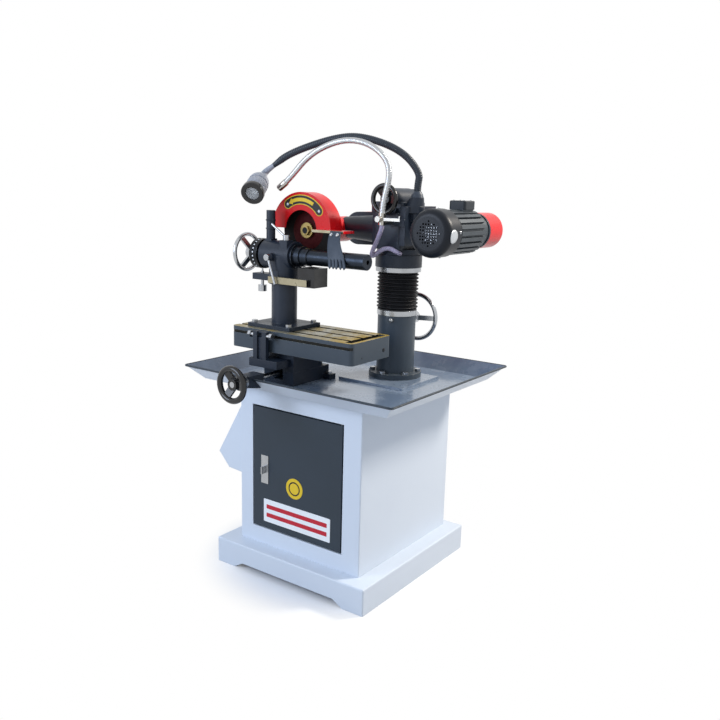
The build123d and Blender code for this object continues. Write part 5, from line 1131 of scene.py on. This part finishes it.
@dataclass
class GuardPlate:
    """Printed plate on the wheel guard: a band round the wheel's axis with a plain arrow."""

    guard_front: float = -84.0
    radius: float = 95.0
    width: float = 30.0
    start: float = -33.4
    end: float = 49.5
    sheet: float = 1.0
    sink: float = 0.2
    border: float = 2.6
    steps: int = 40
    end_steps: int = 12
    ink_sheet: float = 0.3
    edge_share: float = 0.3
    arrow_width: float = 11.0
    arrow_start: float = -21.0
    arrow_end: float = 31.0
    arrow_head: float = 15.0
    arrow_barb: float = 10.45
    arrow_dip: float = 2.0
    arrow_lift: float = 0.05
    screw_radius: float = 3.4
    screw_height: float = 2.4

    @staticmethod
    def point(angle: float, radius: float) -> Vector:
        """Point at an angle in degrees from straight up, positive to the right, and a radius."""
        turn = math.radians(angle)
        return Vector((radius * math.sin(turn), radius * math.cos(turn)))

    def band(self, width: float, start: float, end: float, ends: bool) -> list[Vector]:
        """Outline of a curved band along the plate's middle line.

        Args:
            width: Width of the band.
            start: First angle from straight up, in degrees, positive to the right.
            end: Last angle.
            ends: Whether the ends are round.

        Returns:
            Points in order, counter-clockwise seen from the front.
        """
        half = width / 2
        shares = [k / self.steps for k in range(self.steps + 1)]
        outer = [self.point(end + (start - end) * s, self.radius + half) for s in shares]
        inner = [self.point(start + (end - start) * s, self.radius - half) for s in shares]
        if not ends:
            return outer + inner
        caps = []
        for angle, way in ((start, 1), (end, -1)):
            middle = self.point(angle, self.radius)
            out = middle.normalized() * way
            side = Vector((-out.y, out.x))
            turns = (math.pi * k / self.end_steps for k in range(1, self.end_steps))
            caps.append([middle + half * (out * math.cos(a) + side * math.sin(a)) for a in turns])
        return outer + caps[0] + inner + caps[1]

    def arrow(self) -> list[Vector]:
        """Outline of the plain arrow.

        Returns:
            Points in order, counter-clockwise seen from the front.
        """
        shaft = self.band(self.arrow_width, self.arrow_start, self.arrow_end, False)
        foot = self.point(self.arrow_start, self.radius)
        out = foot.normalized()
        ahead = Vector((-out.y, out.x))
        tip = [
            foot + out * self.arrow_barb,
            foot + ahead * self.arrow_head - out * self.arrow_dip,
            foot - out * self.arrow_barb,
        ]
        turned = self.steps + 1
        return shaft[:turned] + tip + shaft[turned:]

    def build(self, axis: Vector) -> None:
        """Adds the border, the field in it, the arrow and two screws.

        Args:
            axis: A place on the wheel's axis.
        """
        border = self.band(self.width, self.start, self.end, True)
        field = self.band(self.width - 2 * self.border, self.start, self.end, True)
        field_level, arrow_level = self.sheet - self.sink, self.sheet + self.arrow_lift
        for name, finish, outline, level, sheet in (
            ("guard_plate_border", YELLOW_INK, border, -self.sink, self.sheet),
            ("guard_plate_field", BLACK_INK, field, field_level, self.ink_sheet),
            ("guard_plate_arrow", YELLOW_INK, self.arrow(), arrow_level, self.ink_sheet),
        ):
            form = Form()
            place = Facing.FRONT.at((axis.x, self.guard_front - level, axis.z))
            form.plate(outline, sheet, place, sheet * self.edge_share)
            form.piece(name, finish, "carriage")
        screws = Form()
        for angle in (self.start, self.end):
            spot = self.point(angle, self.radius)
            place = Facing.FRONT.at((axis.x + spot.x, self.guard_front - self.sheet, axis.z + spot.y))
            screws.screw(place, self.screw_radius, self.screw_height)
        screws.piece("guard_plate_screws", WHITE_PLATE, "carriage")


@dataclass
class SplashFlap:
    """Bent rubber flap, cut into pointed fingers at its foot, with its two nuts."""

    top_width: float = 40.0
    foot_width: float = 66.0
    back_inset: float = 3.0
    front_inset: float = 1.5
    knee_inset: float = 7.0
    knee_drop: float = 53.0
    rows: int = 28
    sheet: float = 3.0
    seam: float = 0.05
    fingers: int = 5
    finger_steps: int = 4
    cut: float = 0.72
    gap: float = 3.0
    gap_growth: float = 4.0
    slope: float = 6.3
    curl: float = 2.0
    curl_start: float = 0.6
    curl_step: float = 2.1
    nut_shares: tuple[float, float] = (0.22, 0.78)
    nut_back: float = 9.0
    nut_drop: float = 10.0
    nut_axis: Place = (0, -1, -0.3)
    nut_collar: Profile = ((0, 0), (6.5, 0), (6.5, 1.2), (5.2, 1.2), (5.2, 4))
    nut_dome: tuple[float, float] = (5.0, 4.5)
    nut_dome_turns: tuple[float, ...] = (0.3, 0.6, 0.9, 1.2)
    nut_top: float = 8.6

    def build(self) -> None:
        """Adds the sheet, from its straight top over the knee to the fingers, and the nuts."""
        low, high = corners("splash_flap")
        top_left, top_right = low.x, low.x + self.top_width
        foot_left, foot_right = high.x - self.foot_width, high.x
        back, foot = high.y - self.back_inset, low.y + self.front_inset
        knee_y, knee_z = low.y + self.knee_inset, high.z - self.knee_drop
        form = Form()
        for finger in range(self.fingers):
            curl = self.curl * math.sin(self.curl_step * finger + self.curl_start)
            rows = []
            for k in range(self.rows + 1):
                share = k / self.rows
                lag = 1 - share
                y = lag * lag * back + 2 * lag * share * knee_y + share * share * foot
                z = lag * lag * high.z + 2 * lag * share * knee_z + share * share * low.z
                spread = share * share * (3 - 2 * share)
                left = top_left + (foot_left - top_left) * spread
                right = top_right + (foot_right - top_right) * spread
                width = (right - left) / self.fingers
                split = held((share - self.cut) / (1 - self.cut))
                gap = self.gap * held(split * self.gap_growth)
                points = []
                for m in range(self.finger_steps + 1):
                    across = m / self.finger_steps
                    x = (finger + across) * width + left + (0.5 - across) * gap
                    lift = self.slope * split * abs(2 * across - 1)
                    points.append((x, y + curl * split, z + lift))
                rows.append(form.row(points))
            form.skin(rows, closed=False)
        bmesh.ops.remove_doubles(form.mesh, verts=form.mesh.verts, dist=self.seam)
        flap = form.piece("rubber_flap", SHEET_RUBBER, "flap")
        solid = flap.modifiers.new("sheet", "SOLIDIFY")
        solid.thickness = self.sheet * MM
        solid.offset = 0
        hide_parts("splash_flap")
        self.build_nuts(Vector((low.x, high.y, high.z)))

    def build_nuts(self, corner: Vector) -> None:
        """Adds the domed nuts that hold the flap's top.

        Args:
            corner: Left, back and top of the flap.
        """
        radius, rise = self.nut_dome
        foot = self.nut_collar[-1][1]
        dome = [(radius * math.cos(a), foot + rise * math.sin(a)) for a in self.nut_dome_turns]
        profile = [*self.nut_collar, *dome, (0, self.nut_top)]
        nuts = Form()
        for share in self.nut_shares:
            place = corner + Vector((self.top_width * share, -self.nut_back, -self.nut_drop))
            nuts.turn(profile, along(place, self.nut_axis), SCREW_SIDES)
        nuts.piece("flap_nuts", TURNED_STEEL, "flap")


@dataclass
class GrindingHead:
    """Head on the lift: carriage, wheel, guard with its plate, and the rubber splash flap."""

    nut_clearance: float = 1.0
    strip_left: float = -61.0
    strip_back: float = -58.0
    strip_reach: float = 50.0
    blotter_radius: float = 60.0
    blotter_bore: float = 15.0
    blotter_sheet: float = 0.7
    blotter_edge: tuple[float, float] = (0.5, 0.3)
    bolt_place: Place = (173.8, 96.0, 1140.5)
    bolt_profile: Profile = ((0, 0), (9, 0), (9, 6), (8, 7), (0, 7))

    def dress(self) -> None:
        """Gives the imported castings, guard and wheel their finishes."""
        dress(CAST_ENAMEL, "head_base", "head_carriage")
        dress(RED_ENAMEL, "wheel_guard")
        dress(ABRASIVE, "grinding_wheel")
        dress(BRASS, "wheel_nut")
        dress(TURNED_STEEL, "grinding_spindle", "spindle_bearings")
        dress(PHENOLIC, "infeed_handwheel")
        face = corners("grinding_wheel")[0].y - self.nut_clearance
        dress_faces("grinding_spindle", BLACKED_STEEL, lambda middle, normal: middle.y < face)
        foot = corners("wheel_guard")[0].z
        dress_faces(
            "wheel_guard",
            DRAWN_STEEL,
            lambda middle, normal: normal.y < -FACING
            and middle.x > self.strip_left
            and middle.y < self.strip_back
            and middle.z < foot + self.strip_reach,
        )

    def build(self) -> None:
        """Adds the guard's plate, the wheel's blotter in dark red painted shade, a bolt in the cheek
        and the flap.
        """
        nut = middle_of("wheel_nut")
        GuardPlate().build(nut)
        bore, rim, sheet = self.blotter_bore, self.blotter_radius, self.blotter_sheet
        edge_width, edge_drop = self.blotter_edge
        # The blotter's dark red is painted shade of the red guard's inside.
        blotter = Form()
        blotter.turn(
            [
                (bore, 0), (rim, 0), (rim, sheet - edge_drop), (rim - edge_width, sheet), (bore, sheet),
                (bore, 0),
            ],
            Facing.FRONT.at((nut.x, corners("grinding_wheel")[0].y, nut.z)),
            FINE_SIDES,
        )  # fmt: skip
        blotter.piece("wheel_blotter_painted_shade", SHADE_RED_BLOTTER, "grinding")
        bolt = Form()
        bolt.turn(self.bolt_profile, Facing.RIGHT.at(self.bolt_place), HEXAGON)
        bolt.piece("cheek_bolt", TURNED_STEEL, "carriage")
        SplashFlap().build()


@dataclass
class Motor:
    """Motor with its fan cover, terminal box, belt and belt guard."""

    fan_back: float = 5.0
    label_radius: float = 20.0
    label_height: float = -6.0
    label_y: float = -24.0
    label_rings: int = 4
    label_sides: int = 48
    label_lift: float = 0.3
    label_sheet: float = 0.6
    screw_turns: tuple[float, ...] = (4.0, 94.0, 184.0, 274.0)
    screw_y: float = 11.5
    screw_radius: float = 3.6
    screw_height: float = 2.6
    screw_sink: float = 0.2
    lid_screw_inset: float = 11.0
    lid_screw_radius: float = 3.2
    lid_screw_height: float = 2.0

    def dress(self) -> None:
        """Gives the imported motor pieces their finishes."""
        dress(MOTOR_ALLOY, "motor_body")
        dress(BLACK_ENAMEL, "fan_cover")
        dress(COVER_GREY, "terminal_box")
        dress(TURNED_STEEL, "motor_rotor")
        dress(RED_ENAMEL, "belt_guard")
        dress(RUBBER, "drive_belt")
        fan_end = corners("fan_cover")[1].y - self.fan_back
        dress_faces("motor_rotor", ALUMINIUM, lambda middle, normal: middle.y < fan_end)

    def build(self) -> None:
        """Adds the blank round label and the screws."""
        low, high = corners("fan_cover")
        radius = (high.x - low.x) / 2
        axis = middle_of("fan_cover")
        label = Form()
        rows = []
        for ring in range(self.label_rings + 1):
            reach = self.label_radius * ring / self.label_rings
            places = []
            for k in range(self.label_sides if ring else 1):
                turn = math.tau * k / self.label_sides
                arc = (self.label_height + reach * math.sin(turn)) / radius
                out = Vector((math.cos(arc), 0, math.sin(arc)))
                middle = Vector((axis.x, self.label_y + reach * math.cos(turn), axis.z))
                places.append(middle + out * (radius + self.label_lift))
            rows.append(label.row(places))
        label.skin(rows)
        piece = label.piece("motor_label", ALUMINIUM, "carriage")
        sheet = piece.modifiers.new("sheet", "SOLIDIFY")
        sheet.thickness = self.label_sheet * MM
        screws = Form()
        for degrees in self.screw_turns:
            turn = math.radians(degrees)
            out = Vector((math.cos(turn), 0, math.sin(turn)))
            place = Vector((axis.x, self.screw_y, axis.z)) + out * (radius - self.screw_sink)
            screws.screw(along(place, out), self.screw_radius, self.screw_height)
        screws.piece("fan_cover_screws", TURNED_STEEL, "carriage")
        box_low, box_high = corners("terminal_box")
        lid = Form()
        inset = self.lid_screw_inset
        for x in (box_low.x + inset, box_high.x - inset):
            for y in (box_low.y + inset, box_high.y - inset):
                place = Facing.UP.at((x, y, box_high.z - self.screw_sink))
                lid.screw(place, self.lid_screw_radius, self.lid_screw_height)
        lid.piece("terminal_screws", TURNED_STEEL, "carriage")


@dataclass
class Lamp:
    """Work lamp on its bent arm; the head's profiles start at the middle of its front."""

    arm_radius: float = 11.0
    arm_sides: int = 28
    neck_radius: float = 8.0
    neck_root: float = 12.0
    neck_length: float = 95.0
    neck_taper: float = 30.0
    root_taper: float = 55.0
    rib_pitch: float = 6.0
    rib_height: float = 0.35
    rib_depth: float = 0.55
    aim: Place = (0.346, -0.775, -0.462)
    lens: Place = (-233.6, -190.0, 1183.0)
    foot: Place = (178.0, 100.0, 1203.0)
    bends: tuple[Place, ...] = (
        (0, 0, 18),
        (5.5, 2.4, 56),
        (-47.5, -21, 120),
        (-149, -66, 159),
        (-230, -102, 158),
        (-366, -162, 109),
        (-420, -186, 66),
    )
    tail_lead: float = 28.0
    tail_reach: float = 112.0
    route_steps: int = 90
    shell_front: Profile = ((20, 17), (33.2, 17), (33.2, 22), (32.6, 22.6))
    shell_ribs: Profile = ((32.6, 22.6), (33.2, 23.4), (33.2, 56), (32.6, 57.4))
    shell_back: Profile = (
        (32.6, 57.4), (31, 58.2), (31, 61.2), (32.8, 62), (32.6, 72), (30.5, 82), (26.5, 91), (21, 98),
        (16, 102.5), (13.2, 106), (12.2, 112), (0, 112),
    )  # fmt: skip
    bezel: Profile = (
        (20.5, 8), (20.5, 2.5), (22, 0.4), (26, 0), (34.2, 0), (35.6, 1.4), (36, 4), (36, 17), (35, 19),
        (33.4, 19.4), (30, 19.4), (30, 8), (20.5, 8),
    )  # fmt: skip
    bowl: Profile = ((29.5, 12), (26, 22), (19, 32), (9, 38), (0, 39))
    bulb: Profile = ((0, 18), (3.5, 18.6), (5.5, 21), (6, 25), (5, 32), (5, 39), (0, 39))
    bulb_sides: int = 24

    def dress(self) -> None:
        """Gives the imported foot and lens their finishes."""
        dress(FOOT_GREY, "lamp_base")
        dress(LAMP_GLASS, "lamp_lens")

    def build(self) -> None:
        """Adds the arm, the slim neck that flares into the head, and the head."""
        aim = Vector(self.aim).normalized()
        lens, foot = Vector(self.lens), Vector(self.foot)
        tail = lens - aim * self.tail_reach
        route = [foot] + [foot + Vector(b) for b in self.bends] + [tail - aim * self.tail_lead, tail]
        path = smooth_route(route, self.route_steps)
        lengths = run_lengths(path)
        slim = lengths[-1] - self.neck_length
        radii = []
        for run in lengths:
            share = held((run - slim) / self.neck_taper)
            flare = held((run - lengths[-1]) / self.root_taper + 1.0)
            rib = self.rib_height * math.cos(math.tau * run / self.rib_pitch)
            radii.append(
                self.arm_radius
                + (self.neck_radius - self.arm_radius) * share
                + (self.neck_root - self.neck_radius) * flare
                + rib * (1 - share)
            )
        split = next(i for i, run in enumerate(lengths) if run > slim + self.neck_taper)
        arm = Form()
        arm.sweep(path[: split + 1], radii[: split + 1], self.arm_sides)
        piece = arm.piece("lamp_arm", ARM_SLEEVE, "carriage")
        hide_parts("lamp_gooseneck")
        neck = Form()
        neck.sweep(path[split - 1 :], radii[split - 1 :], self.arm_sides)
        neck.piece("lamp_neck", LAMP_GREY, "carriage")
        self.build_head(along(lens, -aim))

    def build_head(self, place: Matrix) -> None:
        """Adds the moulded head with its black bezel and the bulb's bowl.

        Args:
            place: Frame at the middle of the head's front, with Z to its back.
        """
        body = Form()
        body.turn(self.shell_front, place, FINE_SIDES)
        body.turn(self.shell_ribs, place, 2 * FINE_SIDES, self.rib_depth)
        body.turn(self.shell_back, place, FINE_SIDES)
        head = body.piece("lamp_shell", LAMP_GREY, "carriage")
        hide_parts("lamp_head")
        for name, finish, profile, sides in (
            ("lamp_bezel", PHENOLIC, self.bezel, FINE_SIDES),
            ("lamp_bowl", CHROME, self.bowl, FINE_SIDES),
            ("lamp_bulb", WHITE_PLATE, self.bulb, self.bulb_sides),
        ):
            form = Form()
            form.turn(profile, place, sides)
            form.piece(name, finish, "carriage")


@dataclass
class Coolant:
    """Valve, arched hose with its nozzle, and the nylon pipe."""

    plate_sheet: float = 6.5
    hose_radius: float = 9.0
    hose_sides: int = 28
    hose_steps: int = 90
    rib_pitch: float = 4.5
    rib_height: float = 0.25
    foot: Place = (126.0, -10.0, 1138.0)
    bends: tuple[Place, ...] = (
        (0, 0, 24),
        (22, 6, 118),
        (0, -1, 170),
        (-62, -18, 208),
        (-140, -38, 210),
        (-232, -62, 168),
        (-298, -78, 92),
        (-320, -83, 74),
    )
    nozzle: Profile = (
        (0, -16), (10.2, -16), (10.8, -14.5), (10.8, 16), (9.6, 18), (5.5, 18), (5.5, 10), (0, 10),
    )  # fmt: skip
    nozzle_sight: int = 6
    pipe_radius: float = 7.0
    pipe_sides: int = 20
    pipe_steps: int = 24
    pipe: tuple[Place, ...] = (
        (126.0, -10.0, 1102.0),
        (126.0, -10.0, 1086.0),
        (46.0, 36.0, 988.3),
        (112.0, 36.0, 1038.0),
        (158.9, 45.0, 1015.3),
        (145.15, 64.65, 1015.3),
    )

    def dress(self) -> None:
        """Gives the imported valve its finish."""
        dress(NICKEL, "coolant_valve")
        back = corners("coolant_valve")[1].y - self.plate_sheet
        dress_faces("coolant_valve", CAST_ENAMEL, lambda middle, normal: middle.y > back)
        dress(NICKEL, "valve_lever")

    def build(self) -> None:
        """Adds the hose, its nozzle and the pipe."""
        foot = Vector(self.foot)
        path = smooth_route([foot] + [foot + Vector(b) for b in self.bends], self.hose_steps)
        radii = [
            self.hose_radius + self.rib_height * math.cos(math.tau * run / self.rib_pitch)
            for run in run_lengths(path)
        ]
        hose = Form()
        hose.sweep(path, radii, self.hose_sides)
        piece = hose.piece("ribbed_hose", WOUND_STAINLESS, "carriage")
        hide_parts("coolant_hose")
        ahead = (path[-1] - path[-self.nozzle_sight]).normalized()
        nozzle = Form()
        nozzle.turn(self.nozzle, along(path[-1], ahead))
        nozzle.piece("hose_nozzle", NICKEL, "carriage")
        run = smooth_route(self.pipe, self.pipe_steps)
        pipe = Form()
        pipe.sweep(run, [self.pipe_radius] * len(run), self.pipe_sides)
        made = pipe.piece("nylon_pipe", NYLON, "carriage")
        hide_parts("coolant_tube")


@dataclass(frozen=True)
class SoftLamp:
    """A round soft box."""

    name: str
    place: Place
    size: float
    power: float
    colour: str

    def build(self, target: Sequence[float]) -> None:
        """Hangs the lamp and turns it to a target.

        Args:
            target: Place that it looks at, in millimetres.
        """
        light = bpy.data.lights.new(self.name, "AREA")
        light.shape = "DISK"
        light.size = self.size * MM
        light.energy = self.power
        light.color = linear(self.colour)[:3]
        lamp = bpy.data.objects.new(self.name, light)
        place = Vector(self.place)
        turn = (Vector(target) - place).to_track_quat("-Z", "Y").to_matrix().to_4x4()
        lamp.matrix_world = Matrix.Translation(place * MM) @ turn
        bpy.context.scene.collection.objects.link(lamp)


@dataclass
class Studio:
    """Camera at the photograph's place, soft light and a pale floor."""

    camera: Place = (1487.0, -2022.0, 1213.0)
    yaw: float = 35.38
    pitch: float = 12.21
    roll: float = -1.48
    focal_pixels: float = 800.6
    image_pixels: float = 720.0
    sensor: float = 36.0
    floor_size: float = 40000.0
    background: str = "#FFFFFF"
    floor_seen: str = "#F7F8FA"
    floor_bounce: str = "#A9ABAE"
    shadow_reach: tuple[float, float] = (300.0, 500.0)
    fill_level: float = 0.82
    fill_above: float = 0.6
    fill_colour: str = "#EAF1FC"
    target: Place = (0.0, 0.0, 700.0)
    lamps: tuple[SoftLamp, ...] = (
        SoftLamp("key", (1900.0, 1800.0, 2800.0), 700.0, 106.0, "#FFF6EA"),
        SoftLamp("front", (-1300.0, -3000.0, 1900.0), 2000.0, 60.0, "#DCE9FF"),
    )

    def build(self) -> None:
        """Sets the view, the camera, the world, the lamps and the floor."""
        bpy.context.scene.view_settings.view_transform = "Standard"
        self.build_camera()
        self.build_world()
        self.build_floor()
        for lamp in self.lamps:
            lamp.build(self.target)

    def build_camera(self) -> None:
        """Places the camera by its three angles."""
        yaw, pitch, roll = (math.radians(a) for a in (self.yaw, self.pitch, self.roll))
        ahead = Vector(
            (
                -math.sin(yaw) * math.cos(pitch),
                math.cos(yaw) * math.cos(pitch),
                -math.sin(pitch),
            )
        )
        level = Vector((math.cos(yaw), math.sin(yaw), 0))
        down = ahead.cross(level)
        right = level * math.cos(roll) + down * math.sin(roll)
        under = down * math.cos(roll) - level * math.sin(roll)
        data = bpy.data.cameras.new("camera")
        data.sensor_width = self.sensor
        data.sensor_height = self.sensor
        data.lens = self.focal_pixels * self.sensor / self.image_pixels
        camera = bpy.data.objects.new("camera", data)
        turn = Matrix((right, -under, -ahead)).transposed().to_4x4()
        camera.matrix_world = Matrix.Translation(Vector(self.camera) * MM) @ turn
        bpy.context.scene.collection.objects.link(camera)
        bpy.context.scene.camera = camera

    @staticmethod
    def seen(tree: bpy.types.NodeTree) -> bpy.types.NodeSocket:
        """Finds the rays that see the background: the camera's, and those off gloss and glass.

        Args:
            tree: Node tree of the world or the floor.

        Returns:
            A value of 1 for these rays and 0 for the others.
        """
        path = add(tree, "ShaderNodeLightPath")
        gloss = add(
            tree,
            "ShaderNodeMath",
            {0: path.outputs["Is Glossy Ray"], 1: path.outputs["Is Transmission Ray"]},
            operation="MAXIMUM",
        )
        return add(
            tree,
            "ShaderNodeMath",
            {0: path.outputs["Is Camera Ray"], 1: gloss.outputs["Value"]},
            operation="MAXIMUM",
        ).outputs["Value"]

    def build_world(self) -> None:
        """White behind the machine, a cool soft fill on it that is stronger from the sides."""
        world = bpy.data.worlds.new("studio")
        world.use_nodes = True
        tree = world.node_tree
        tree.nodes.clear()
        ray = add(tree, "ShaderNodeTexCoord").outputs["Generated"]
        level = add(
            tree,
            "ShaderNodeMapRange",
            {
                "Value": add(tree, "ShaderNodeSeparateXYZ", {"Vector": ray}).outputs["Z"],
                "To Min": self.fill_level,
                "To Max": self.fill_above,
            },
        ).outputs["Result"]
        fill = add(
            tree, "ShaderNodeBackground", {"Color": linear(self.fill_colour), "Strength": level}
        )
        white = add(
            tree, "ShaderNodeBackground", {"Color": linear(self.background), "Strength": 1.0}
        )
        mix = add(
            tree,
            "ShaderNodeMixShader",
            {0: self.seen(tree), 1: fill.outputs["Background"], 2: white.outputs["Background"]},
        )
        add(tree, "ShaderNodeOutputWorld", {"Surface": mix.outputs["Shader"]})
        bpy.context.scene.world = world

    def build_floor(self) -> None:
        """A pale floor that keeps the machine's shadow and turns to the background's white."""
        form = bmesh.new()
        half = self.floor_size / 2 * MM
        outline = ((-half, -half), (half, -half), (half, half), (-half, half))
        form.faces.new([form.verts.new((x, y, 0)) for x, y in outline])
        data = bpy.data.meshes.new("floor")
        form.to_mesh(data)
        form.free()
        floor = bpy.data.objects.new("floor", data)
        bpy.context.scene.collection.objects.link(floor)
        material = bpy.data.materials.new("pale_studio_floor")
        material.use_nodes = True
        tree = material.node_tree
        tree.nodes.clear()
        place = add(tree, "ShaderNodeTexCoord").outputs["Object"]
        reach = add(tree, "ShaderNodeVectorMath", {0: place}, operation="LENGTH").outputs["Value"]
        near, far = (r * MM for r in self.shadow_reach)
        fade = add(
            tree,
            "ShaderNodeMapRange",
            {"Value": reach, "From Min": near, "From Max": far},
            interpolation_type="SMOOTHSTEP",
        ).outputs["Result"]
        seen = self.seen(tree)
        share = add(tree, "ShaderNodeMath", {0: fade, 1: seen}, operation="MULTIPLY")
        pale = add(
            tree,
            "ShaderNodeMix",
            {MIX_SHARE: seen, MIX_UNDER: linear(self.floor_bounce), MIX_OVER: linear(self.floor_seen)},
            data_type="RGBA",
        ).outputs[MIX_RESULT]
        matt = add(tree, "ShaderNodeBsdfDiffuse", {"Color": pale})
        white = add(tree, "ShaderNodeEmission", {"Color": linear(self.background), "Strength": 1.0})
        mix = add(
            tree,
            "ShaderNodeMixShader",
            {0: share.outputs["Value"], 1: matt.outputs["BSDF"], 2: white.outputs["Emission"]},
        )
        add(tree, "ShaderNodeOutputMaterial", {"Surface": mix.outputs["Shader"]})
        data.materials.append(material)


def main() -> None:
    """Builds and dresses the machine's sub-assemblies."""
    logging.basicConfig(level=logging.INFO, format="%(message)s")
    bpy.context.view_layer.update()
    Studio().build()
    for part in (
        Stand(), Tray(), Column(), CrossSlide(), Table(), WorkHead(), GrindingHead(), Motor(), Lamp(),
        Coolant(),
    ):  # fmt: skip
        part.dress()
        part.build()


if __name__ == "__main__":
    main()
